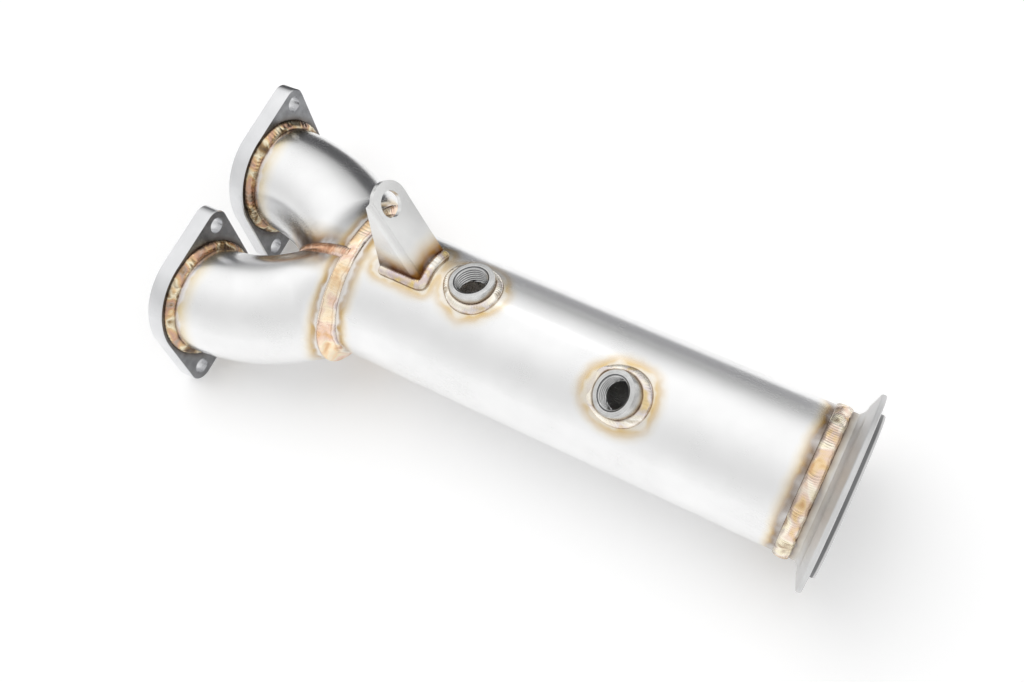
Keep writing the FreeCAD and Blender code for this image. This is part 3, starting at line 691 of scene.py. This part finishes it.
def fillet_bead(centre, axis, foot_r, leg, look, seed, inside=False):
    """A fillet between a tube and a plate: it climbs the tube along the axis and spreads over the plate.
    Inside a bore it spreads inwards instead."""
    spread = -1 if inside else 1
    buried = 0.5 * MM
    turns = [math.radians(90) * step / 8 for step in range(9)]
    bulge = 0.16 * leg
    profile = []
    for turn in turns:
        share = turn / math.radians(90)
        swell = bulge * math.sin(math.pi * share)
        profile.append(((1 - share) * leg + swell, foot_r + spread * (share * leg + swell)))
    root_r = foot_r - spread * buried
    profile += [(-buried, foot_r + spread * leg), (-buried, root_r), (leg, root_r)]
    steps = int(math.tau * foot_r / look.pitch * 7)
    mesh = spun_ring(profile, centre, axis, steps)
    slant = math.sqrt(0.5)

    def measure(along, out, radial):
        rise = spread * (out - foot_r)
        across = (rise - along) / leg
        lift = max(0, 1 - abs(across)) * (1 if along + rise > leg * 0.8 else 0)
        return across, min(1, 1.6 * lift), (axis + radial * spread) * slant

    ripple_ring(mesh, centre, axis, look, seed, foot_r, measure)
    return mesh


def pipe_surface_at(point, axis, radius):
    """How far along the axis the outside of a cylinder round X lies from the point."""
    a = axis.y ** 2 + axis.z ** 2
    b = point.y * axis.y + point.z * axis.z
    c = point.y ** 2 + point.z ** 2 - radius ** 2
    return (-b + math.sqrt(b * b - a * c)) / a


def bung_bead(bung, look, seed):
    """A fillet round the foot of a bung that follows the round of the pipe."""
    foot, axis = bung_seat(bung)
    buried = 0.6 * MM
    leg = BUNG_TOE_R - BUNG_R
    profile = []
    for step in range(10):
        turn = math.radians(90) * step / 9
        out = BUNG_R + leg * math.cos(turn) ** 0.9 if step < 9 else BUNG_R
        profile.append((leg * math.sin(turn) ** 0.9, out))
    profile += [(leg * 0.9, BUNG_R - buried), (-buried, BUNG_R - buried), (-buried, BUNG_TOE_R - 0.3 * MM)]
    steps = int(math.tau * BUNG_TOE_R / look.pitch * 7)
    mesh = spun_ring(profile, foot, axis, steps)

    def measure(along, out, radial):
        across = max(-1, min(1, 2 * (out - BUNG_R) / leg - 1))
        lift = max(0, min(1, along / leg * 1.5)) if out > BUNG_R - 0.1 * MM else 0
        return across, lift, (axis + radial) * math.sqrt(0.5)

    ripple_ring(mesh, foot, axis, look, seed, BUNG_TOE_R, measure)
    top = BUNG_STAND - 0.3 * MM
    for vertex in mesh.verts:
        above = (vertex.co - foot).dot(axis)
        base = vertex.co - axis * above
        drop = pipe_surface_at(base, axis, PIPE_R)
        vertex.co = base + axis * min(drop + above, top)
    return mesh


def swept_bead(path, outwards, radius, look, seed, tapered, spread):
    """A round bead swept along a path by extruding its ring from point to point. spread widens it."""
    mesh = bmesh.new()
    across_layer = mesh.verts.layers.float.new("across")
    valley_layer = mesh.verts.layers.float.new("valley")
    ring = bmesh.ops.create_circle(mesh, cap_ends=False, radius=radius, segments=16)["verts"]
    shape = [vertex.co.copy() for vertex in ring]
    lengths = [0.0]
    for first, second in zip(path, path[1:]):
        lengths.append(lengths[-1] + (second - first).length)
    total = lengths[-1]

    def place(vertices, index):
        before = path[max(0, index - 1)]
        after = path[min(len(path) - 1, index + 1)]
        ahead = (after - before).normalized()
        out = outwards[index]
        out = (out - ahead * out.dot(ahead)).normalized()
        side = ahead.cross(out)
        along = lengths[index]
        size = 1.0
        if tapered and along < radius:
            size = math.sqrt(max(0.02, 1 - (1 - along / radius) ** 2))
        if tapered and total - along < radius:
            size = min(size, math.sqrt(max(0.02, 1 - (1 - (total - along) / radius) ** 2)))
        for vertex, corner in zip(vertices, shape):
            lift = max(0, corner.y / radius)
            across = corner.x / radius
            height, valley = frozen_ripple(along, across, look, seed)
            lump = noise.noise(Vector((along / look.lump_pitch, seed, 0)))
            swell = 1 + lift * (look.depth * (height - 0.7) + look.lump * lump) / radius
            vertex.co = path[index] + (side * corner.x * spread + out * corner.y * swell) * size
            vertex[across_layer] = across
            vertex[valley_layer] = valley * lift * min(1, look.depth / (0.3 * MM))

    place(ring, 0)
    edges = first_edges = list(mesh.edges)
    for index in range(1, len(path)):
        made = bmesh.ops.extrude_edge_only(mesh, edges=edges)["geom"]
        edges = [item for item in made if isinstance(item, bmesh.types.BMEdge)]
        neighbours = [[edge.other_vert(vertex) for edge in vertex.link_edges] for vertex in ring]
        ring = [next(vertex for vertex in group if vertex in made) for group in neighbours]
        place(ring, index)
    bmesh.ops.contextual_create(mesh, geom=first_edges)
    bmesh.ops.contextual_create(mesh, geom=edges)
    bmesh.ops.recalc_face_normals(mesh, faces=mesh.faces)
    return mesh


def evenly_spaced(points, step):
    """The same line through points a fixed step apart."""
    result = [points[0]]
    left = step
    for first, second in zip(points, points[1:]):
        length = (second - first).length
        while left <= length:
            result.append(first.lerp(second, left / length))
            left += step
        left -= length
    result.append(points[-1])
    return result


def crotch_crown():
    """The crown of the CAD bead along the middle plane, from the top of the joint round to its bottom."""
    centre = Vector((JUNCTION_X + 4 * MM, 0, 0))
    off_middle = 0.35 * MM
    step_deg = 3
    best = {}
    for vertex in NODES["crotch_weld"].data.vertices:
        offset = vertex.co - centre
        if abs(vertex.co.y) > off_middle:
            continue
        key = round(math.degrees(math.atan2(offset.z, -offset.x)) / step_deg)
        if key not in best or offset.length > (best[key] - centre).length:
            best[key] = vertex.co.copy()
    line = [Vector((best[key].x, 0, best[key].z)) for key in sorted(best, reverse=True)]
    for _ in range(3):
        inner = [(before + point * 2 + after) / 4 for before, point, after in zip(line, line[1:], line[2:])]
        line = [line[0]] + inner + [line[-1]]
    return line


def threaded_bung(bung, thread_pitch):
    """A turned bung with its thread cut inside. Its spigot passes through the port into the pipe."""
    foot, axis = bung_seat(bung)
    core = 8.1 * MM
    thread_depth = 0.9 * MM
    break_edge = 0.5 * MM
    mouth_r = 9.1 * MM
    spigot_r = 9.25 * MM
    wall_samples = 160
    spigot_end_r = PIPE_R - 4.5 * MM
    mouth = BUNG_STAND - 0.7 * (mouth_r - core)
    spigot_foot = 1 * MM
    outer = [(-spigot_foot, spigot_r), (-0.5 * MM, spigot_r), (-0.5 * MM, BUNG_R),
             (BUNG_STAND - break_edge, BUNG_R),
             (BUNG_STAND - 0.15 * break_edge, BUNG_R - 0.3 * break_edge), (BUNG_STAND, BUNG_R - break_edge),
             (BUNG_STAND, mouth_r + 0.1 * MM), (BUNG_STAND - 0.1 * MM, mouth_r)]
    wall = [(mouth - (mouth + spigot_foot) * step / wall_samples, core) for step in range(wall_samples + 1)]
    mesh = spun_ring(outer + wall, foot, axis, 128)
    side = axis.orthogonal().normalized()
    other = axis.cross(side)
    for vertex in mesh.verts:
        offset = vertex.co - foot
        above = offset.dot(axis)
        radial = offset - axis * above
        out = radial.length
        base = foot + radial
        bottom = pipe_surface_at(base, axis, spigot_end_r)
        if out < core + 0.01 * MM:
            height = bottom + (mouth - bottom) * (above + spigot_foot) / (mouth + spigot_foot)
            turn = math.atan2(radial.dot(other), radial.dot(side)) / math.tau
            groove = abs(2 * ((height / thread_pitch - turn) % 1) - 1)
            fade = min(1, max(0, (mouth - height) / (0.3 * MM)), max(0, (height - bottom) / (0.2 * MM)))
            vertex.co = foot + radial.normalized() * (core + thread_depth * groove * fade) + axis * height
        elif above < -0.9 * MM:
            vertex.co = base + axis * bottom
        elif above < -0.4 * MM:
            vertex.co = base + axis * pipe_surface_at(base, axis, PIPE_R - 0.6 * MM)
    bmesh.ops.recalc_face_normals(mesh, faces=mesh.faces)
    return mesh


# Sizes and colours that a user would change

class DownpipeFinish(bpy.types.PropertyGroup):
    roughness: bpy.props.FloatProperty(name="Roughness", description="Roughness of the satin steel",
                                       default=0.25, min=0, max=1, subtype="FACTOR")
    grain: bpy.props.FloatProperty(name="Grain", description="Strength of the fine abrasive grain",
                                   default=0.03, min=0, max=1, subtype="FACTOR")
    bead_roughness: bpy.props.FloatProperty(name="Bead roughness", description="Roughness of the weld metal",
                                            default=0.2, min=0, max=1, subtype="FACTOR")


def length(name, description, default):
    """A length that can't be negative."""
    return bpy.props.FloatProperty(name=name, description=description, default=default, min=0,
                                   unit="LENGTH", precision=4)


class DownpipeSizes(bpy.types.PropertyGroup):
    girth_half_width: length("Girth bead half width", "Half the width of a girth bead", 4.2 * MM)
    girth_height: length("Girth bead height", "Height of a girth bead above the pipe", 1.5 * MM)
    fillet_leg: length("Fillet leg", "Size of the fillet behind an inlet flange", 4.0 * MM)
    seal_leg: length("Seal leg", "Size of the small bead inside an inlet flange", 1.7 * MM)
    bracket_bead_r: length("Bracket bead radius", "Radius of the bracket's bead", 2.3 * MM)
    thread_pitch: length("Thread pitch", "Pitch of the thread in the bungs", 1.5 * MM)


def card_colour(name, description, hex_colour):
    """A colour of the studio."""
    return bpy.props.FloatVectorProperty(name=name, description=description, default=linear(hex_colour),
                                         size=4, min=0, max=1, subtype="COLOR")


class DownpipeStudio(bpy.types.PropertyGroup):
    lens: bpy.props.FloatProperty(name="Lens", description="Focal length of the camera on a 36 mm sensor",
                                  default=39.07, min=1, unit="CAMERA")
    key_power: bpy.props.FloatProperty(name="Key strength", description="Strength of the broad soft light",
                                       default=1.05, min=0)
    glint_power: bpy.props.FloatProperty(name="Glint power", default=0.15, min=0, subtype="POWER",
                                         description="Power of the small lamp that glints on the beads")
    floor_colour: card_colour("Floor", "Colour of the floor", "#F4F4F4")
    flag_colour: card_colour("Flag", "Colour of the grey card that the steel mirrors", "#A8A8AA")
    dark_flag_colour: card_colour("Dark flag", "Colour of the darker card beside the far leg", "#5A5A5C")


# One operator for each piece or group of like pieces, and one for the stage

class DOWNPIPE_OT_tubes(bpy.types.Operator):
    """Gives the main pipe and the two inlet legs their satin steel and heat tint"""
    bl_idname = "downpipe.tubes"
    bl_label = "Dress tubes"

    def execute(self, context):
        finish = context.scene.downpipe_finish
        dress(satin_tube("Satin_stainless_pipe", finish, False), "main_pipe")
        dress(satin_tube("Satin_stainless_legs", finish, True), "right_inlet_leg", "left_inlet_leg")
        return {"FINISHED"}


class DOWNPIPE_OT_flanges(bpy.types.Operator):
    """Gives the inlet flanges their milled plate and the outlet flange its turned steel"""
    bl_idname = "downpipe.flanges"
    bl_label = "Dress flanges"

    def execute(self, context):
        finish = context.scene.downpipe_finish
        dress(milled_plate("Milled_stainless_plate", finish), "right_inlet_flange", "left_inlet_flange")
        dress(turned_flange("Turned_stainless_flange", finish), "outlet_flange")
        return {"FINISHED"}


class DOWNPIPE_OT_bracket(bpy.types.Operator):
    """Gives the folded bracket its sheet steel"""
    bl_idname = "downpipe.bracket"
    bl_label = "Dress bracket"

    def execute(self, context):
        dress(folded_sheet("Folded_stainless_sheet", context.scene.downpipe_finish), "support_bracket")
        return {"FINISHED"}


class DOWNPIPE_OT_girth_beads(bpy.types.Operator):
    """Makes the beads round the main pipe, at the legs and at the outlet flange"""
    bl_idname = "downpipe.girth_beads"
    bl_label = "Make girth beads"

    def execute(self, context):
        finish = context.scene.downpipe_finish
        sizes = context.scene.downpipe_sizes
        shape = (sizes.girth_half_width, sizes.girth_height)
        mesh = girth_bead(JUNCTION_X, *shape, BEAD_LOOKS["junction"], 3.0)
        legs = legs_under(("right_inlet_leg", "left_inlet_leg"))
        drape(mesh, legs, JUNCTION_X - 0.2 * MM, sizes.girth_half_width)
        steel = weld_bead_steel("Weld_metal_junction", finish, "junction")
        keep_piece(mesh, "junction_bead", steel, "weld_bead", "junction_weld")
        mesh = girth_bead(OUTLET_JOINT_X, *shape, BEAD_LOOKS["outlet"], 8.0)
        steel = weld_bead_steel("Weld_metal_outlet", finish, "outlet")
        keep_piece(mesh, "outlet_bead", steel, "weld_bead", "outlet_weld")
        return {"FINISHED"}


class DOWNPIPE_OT_flange_beads(bpy.types.Operator):
    """Makes the fillets behind the inlet flanges and the small beads inside them"""
    bl_idname = "downpipe.flange_beads"
    bl_label = "Make flange beads"

    def execute(self, context):
        finish = context.scene.downpipe_finish
        sizes = context.scene.downpipe_sizes
        steel = weld_bead_steel("Weld_metal_flange", finish, "flange")
        for side, hand, seed in (("right", 1, 1.0), ("left", -1, 14.0)):
            start = Vector((RIGHT_LEG_START.x, RIGHT_LEG_START.y * hand, RIGHT_LEG_START.z))
            mesh = fillet_bead(start, LEG_AHEAD, LEG_R, sizes.fillet_leg, BEAD_LOOKS["flange"], seed)
            keep_piece(mesh, side + "_flange_bead", steel, "weld_bead", side + "_flange_weld")
            leg_end = start - LEG_AHEAD * 8 * MM
            mesh = fillet_bead(leg_end, -LEG_AHEAD, LEG_R + 0.1 * MM, sizes.seal_leg, BEAD_LOOKS["seal"],
                               seed + 3, inside=True)
            keep_piece(mesh, side + "_seal_bead", steel, "weld_bead", side + "_seal_weld")
        return {"FINISHED"}


class DOWNPIPE_OT_crotch_bead(bpy.types.Operator):
    """Makes the bead along the seam between the two legs"""
    bl_idname = "downpipe.crotch_bead"
    bl_label = "Make crotch bead"

    def execute(self, context):
        crown_line = evenly_spaced(crotch_crown(), 0.35 * MM)
        outwards = []
        for index in range(len(crown_line)):
            ahead = crown_line[min(index + 1, len(crown_line) - 1)] - crown_line[max(index - 1, 0)]
            out = ahead.cross(MIDDLE_PLANE).normalized()
            at_end = abs(out.x) < 0.2 and out.z * crown_line[index].z > 0
            outwards.append(out if out.x < 0 or at_end else -out)
        path = [point - out * CROTCH_BEAD_R for point, out in zip(crown_line, outwards)]
        mesh = swept_bead(path, outwards, CROTCH_BEAD_R, BEAD_LOOKS["crotch"], 21.0,
                          tapered=False, spread=1.15)
        steel = weld_bead_steel("Weld_metal_crotch", context.scene.downpipe_finish, "crotch")
        keep_piece(mesh, "crotch_bead", steel, "weld_bead", "crotch_weld")
        return {"FINISHED"}


class DOWNPIPE_OT_bungs(bpy.types.Operator):
    """Makes the two sensor bungs with their threads, and the beads round their feet"""
    bl_idname = "downpipe.bungs"
    bl_label = "Make sensor bungs"

    def execute(self, context):
        finish = context.scene.downpipe_finish
        sizes = context.scene.downpipe_sizes
        bead_steel = weld_bead_steel("Weld_metal_bung", finish, "bung")
        for seed, bung in enumerate(BUNG_SEATS):
            steel = turned_bung("Turned_stainless_" + bung, finish, bung)
            mesh = threaded_bung(bung, sizes.thread_pitch)
            keep_piece(mesh, bung + "_threaded_bung", steel, "bung_steel", bung + "_sensor_bung")
            mesh = bung_bead(bung, BEAD_LOOKS["bung"], 30.0 + seed)
            keep_piece(mesh, bung + "_bung_bead", bead_steel, "weld_bead", bung + "_bung_weld")
        return {"FINISHED"}


class DOWNPIPE_OT_bracket_bead(bpy.types.Operator):
    """Makes the bead round the foot of the bracket"""
    bl_idname = "downpipe.bracket_bead"
    bl_label = "Make bracket bead"

    def execute(self, context):
        radius = context.scene.downpipe_sizes.bracket_bead_r
        steel = weld_bead_steel("Weld_metal_bracket", context.scene.downpipe_finish, "bracket")
        rear, corner, middle, end = bracket_foot_line()
        _, sideways = around_pipe(BRACKET_CLOCK_DEG)
        stand = radius / 4
        along = [(rear - sideways * stand).lerp(corner - sideways * stand, step / 20) for step in range(21)]
        across = []
        for step in range(31):
            share = step / 30
            bent = corner * (1 - share) * (1 - 2 * share) + middle * 4 * share * (1 - share)
            bent += end * share * (2 * share - 1)
            across.append(bent + Vector((stand, 0, 0)))
        line = evenly_spaced(along + across, 0.3 * MM)
        for _ in range(50):
            inner = [(before + point + after) / 3 for before, point, after in zip(line, line[1:], line[2:])]
            line = [line[0]] + inner + [line[-1]]
        lifted = []
        outwards = []
        for point in line:
            radial = Vector((0, point.y, point.z)).normalized()
            lifted.append(Vector((point.x, 0, 0)) + radial * (PIPE_R + stand))
            outwards.append(radial)
        mesh = swept_bead(lifted, outwards, radius, BEAD_LOOKS["bracket"], 41.0,
                          tapered=True, spread=1.35)
        keep_piece(mesh, "bracket_bead", steel, "weld_bead", "bracket_weld")
        return {"FINISHED"}


class DOWNPIPE_OT_stage(bpy.types.Operator):
    """Makes the floor, the soft lamps, the cards that the steel mirrors, and the camera"""
    bl_idname = "downpipe.stage"
    bl_label = "Make stage"

    def execute(self, context):
        studio = context.scene.downpipe_studio
        make_floor(studio)
        make_cards(studio)
        make_world()
        make_lamps(studio)
        make_camera(studio)
        context.scene.view_settings.view_transform = "Standard"
        return {"FINISHED"}


def stage_sheet(name, size, matrix, material):
    """A flat sheet of the studio."""
    mesh = bmesh.new()
    bmesh.ops.create_grid(mesh, x_segments=1, y_segments=1, size=0.5)
    bmesh.ops.scale(mesh, verts=mesh.verts, vec=(size[0], size[1], 1))
    bmesh.ops.transform(mesh, matrix=matrix, verts=mesh.verts)
    data = bpy.data.meshes.new(name)
    mesh.to_mesh(data)
    mesh.free()
    data.materials.append(material)
    sheet = bpy.data.objects.new(name, data)
    bpy.context.scene.collection.objects.link(sheet)
    return sheet


def make_floor(studio):
    """A pale matt floor. A little glow for camera rays lifts it to white outside the shadow."""
    material, tree = bare_material("Pale_studio_floor")
    matt = add_node(tree, "ShaderNodeBsdfDiffuse", {"Color": studio.floor_colour})
    seen = add_node(tree, "ShaderNodeLightPath")
    in_steel = add_node(tree, "ShaderNodeMath", {0: seen.outputs["Is Glossy Ray"], 1: 0.32},
                        operation="MULTIPLY")
    strength = add_node(tree, "ShaderNodeMath",
                        {0: seen.outputs["Is Camera Ray"], 1: 0.2, 2: in_steel.outputs[0]},
                        operation="MULTIPLY_ADD")
    glow = add_node(tree, "ShaderNodeEmission", {"Color": (1, 1, 1, 1), "Strength": strength.outputs[0]})
    both = add_node(tree, "ShaderNodeAddShader", {0: matt.outputs[0], 1: glow.outputs[0]})
    add_node(tree, "ShaderNodeOutputMaterial", {"Surface": both.outputs[0]})
    stage_sheet("Studio_floor", (FLOOR_WIDTH, FLOOR_WIDTH), Matrix.Translation((0, 0, FLOOR_Z)), material)


def make_cards(studio):
    """Dark cards beyond the part, seen only in the steel, where they give the dark edge of each tube."""
    for name, colour, left, right, y in (("Dark_card", studio.flag_colour, -0.75, -0.02, 0.17),
                                         ("Darker_card", studio.dark_flag_colour, -0.5, -0.27, 0.15)):
        material, tree = bare_material(name)
        shade = add_node(tree, "ShaderNodeEmission", {"Color": colour, "Strength": 1.0})
        add_node(tree, "ShaderNodeOutputMaterial", {"Surface": shade.outputs[0]})
        middle = Matrix.Translation(((left + right) / 2, y, FLOOR_Z + CARD_HEIGHT / 2))
        place = middle @ Matrix.Rotation(math.radians(90), 4, "X")
        card = stage_sheet(name, (right - left, CARD_HEIGHT), place, material)
        card.visible_camera = False
        card.visible_diffuse = False
        card.visible_shadow = False


# brightness of the room that the steel mirrors, by the angle from straight overhead towards the far side
ROOM_STRENGTH = 1.25
ROOM = ((-180, 0.95), (-100, 1.1), (-82, 1.08), (-65, 0.95), (-50, 0.88), (-34, 0.92), (-17, 1.03),
        (-2, 1.14), (14, 1.2), (32, 1.2), (47, 1.16), (60, 0.98), (72, 0.66), (86, 0.42), (104, 0.4),
        (180, 0.6))


def make_world():
    """White to the camera. The steel mirrors a soft room, brightest overhead and darker on the far side."""
    world = bpy.data.worlds.new("Soft_studio")
    bpy.context.scene.world = world
    world.use_nodes = True
    tree = world.node_tree
    tree.nodes.clear()
    way = add_node(tree, "ShaderNodeTexCoord").outputs["Generated"]
    parts = add_node(tree, "ShaderNodeSeparateXYZ", {"Vector": way})
    tilt = add_node(tree, "ShaderNodeMath", {0: parts.outputs["Y"], 1: parts.outputs["Z"]},
                    operation="ARCTAN2")
    share = add_node(tree, "ShaderNodeMath", {0: tilt.outputs[0], 1: 1 / math.tau, 2: 0.5},
                     operation="MULTIPLY_ADD")
    room = add_node(tree, "ShaderNodeValToRGB", {"Fac": share.outputs[0]})
    room.color_ramp.interpolation = "B_SPLINE"
    set_stops(room.color_ramp, [(angle / 360 + 0.5, [light / ROOM_STRENGTH] * 3 + [1])
                                for angle, light in ROOM])
    mirrored = add_node(tree, "ShaderNodeBackground",
                        {"Color": room.outputs["Color"], "Strength": ROOM_STRENGTH})
    fill = add_node(tree, "ShaderNodeBackground", {"Color": (1, 1, 1, 1), "Strength": 0.62})
    white = add_node(tree, "ShaderNodeBackground", {"Color": (1, 1, 1, 1), "Strength": 1.0})
    seen = add_node(tree, "ShaderNodeLightPath")
    lit = add_node(tree, "ShaderNodeMixShader", {0: seen.outputs["Is Glossy Ray"], 1: fill.outputs[0],
                                                 2: mirrored.outputs[0]})
    chosen = add_node(tree, "ShaderNodeMixShader", {0: seen.outputs["Is Camera Ray"], 1: lit.outputs[0],
                                                    2: white.outputs[0]})
    add_node(tree, "ShaderNodeOutputWorld", {"Surface": chosen.outputs[0]})


def make_lamps(studio):
    """A broad soft light high beyond the inlets casts the shadow. A small lamp glints on the beads."""
    key = bpy.data.lights.new("Key_light", "SUN")
    key.angle = math.radians(52)
    key.energy = studio.key_power
    glint = bpy.data.lights.new("Glint_lamp", "AREA")
    glint.shape = "DISK"
    glint.size = 0.13
    glint.energy = studio.glint_power
    for lamp, place, mirrored in ((key, (-0.62, 0.3, 1.3), False), (glint, (-0.5, 0.75, 1.0), True)):
        holder = bpy.data.objects.new(lamp.name, lamp)
        aim = PART_MIDDLE - Vector(place)
        holder.matrix_world = Matrix.Translation(place) @ aim.to_track_quat("-Z", "Y").to_matrix().to_4x4()
        holder.visible_glossy = mirrored
        bpy.context.scene.collection.objects.link(holder)


# the photograph's camera, solved from the outline of the part
CAMERA_PLACE = (-15.3 * MM, -142.9 * MM, 534.9 * MM)
CAMERA_RIGHT = Vector((0.8759, 0.4600, -0.1455))
CAMERA_AHEAD = Vector((-0.2860, 0.2521, -0.9245))


def make_camera(studio):
    """The photograph's view."""
    camera = bpy.data.cameras.new("Camera")
    camera.sensor_width = 36
    camera.lens = studio.lens
    camera.clip_start = 0.01
    holder = bpy.data.objects.new("Camera", camera)
    right = CAMERA_RIGHT.normalized()
    ahead = CAMERA_AHEAD.normalized()
    up = right.cross(ahead)
    turn = Matrix((right, up, -ahead)).transposed().to_4x4()
    holder.matrix_world = Matrix.Translation(CAMERA_PLACE) @ turn
    bpy.context.scene.collection.objects.link(holder)
    bpy.context.scene.camera = holder


OPERATORS = (DOWNPIPE_OT_tubes, DOWNPIPE_OT_flanges, DOWNPIPE_OT_bracket, DOWNPIPE_OT_girth_beads,
             DOWNPIPE_OT_flange_beads, DOWNPIPE_OT_crotch_bead, DOWNPIPE_OT_bungs, DOWNPIPE_OT_bracket_bead,
             DOWNPIPE_OT_stage)


class DOWNPIPE_PT_panel(bpy.types.Panel):
    """Lists the steps that dress the downpipe"""
    bl_label = "Turbo downpipe"
    bl_idname = "DOWNPIPE_PT_panel"
    bl_space_type = "VIEW_3D"
    bl_region_type = "UI"
    bl_category = "Downpipe"

    def draw(self, context):
        scene = context.scene
        for group in (scene.downpipe_finish, scene.downpipe_sizes, scene.downpipe_studio):
            box = self.layout.box()
            for name in group.__annotations__:
                box.prop(group, name)
        for operator in OPERATORS:
            self.layout.operator(operator.bl_idname)


GROUPS = (DownpipeFinish, DownpipeSizes, DownpipeStudio)


def register():
    for item in GROUPS + OPERATORS + (DOWNPIPE_PT_panel,):
        bpy.utils.register_class(item)
    bpy.types.Scene.downpipe_finish = bpy.props.PointerProperty(type=DownpipeFinish)
    bpy.types.Scene.downpipe_sizes = bpy.props.PointerProperty(type=DownpipeSizes)
    bpy.types.Scene.downpipe_studio = bpy.props.PointerProperty(type=DownpipeStudio)


def unregister():
    del bpy.types.Scene.downpipe_studio
    del bpy.types.Scene.downpipe_sizes
    del bpy.types.Scene.downpipe_finish
    for item in reversed(GROUPS + OPERATORS + (DOWNPIPE_PT_panel,)):
        bpy.utils.unregister_class(item)


def main():
    register()
    bpy.ops.downpipe.tubes()
    bpy.ops.downpipe.flanges()
    bpy.ops.downpipe.bracket()
    bpy.ops.downpipe.girth_beads()
    bpy.ops.downpipe.flange_beads()
    bpy.ops.downpipe.crotch_bead()
    bpy.ops.downpipe.bungs()
    bpy.ops.downpipe.bracket_bead()
    bpy.ops.downpipe.stage()


if __name__ == "__main__":
    main()
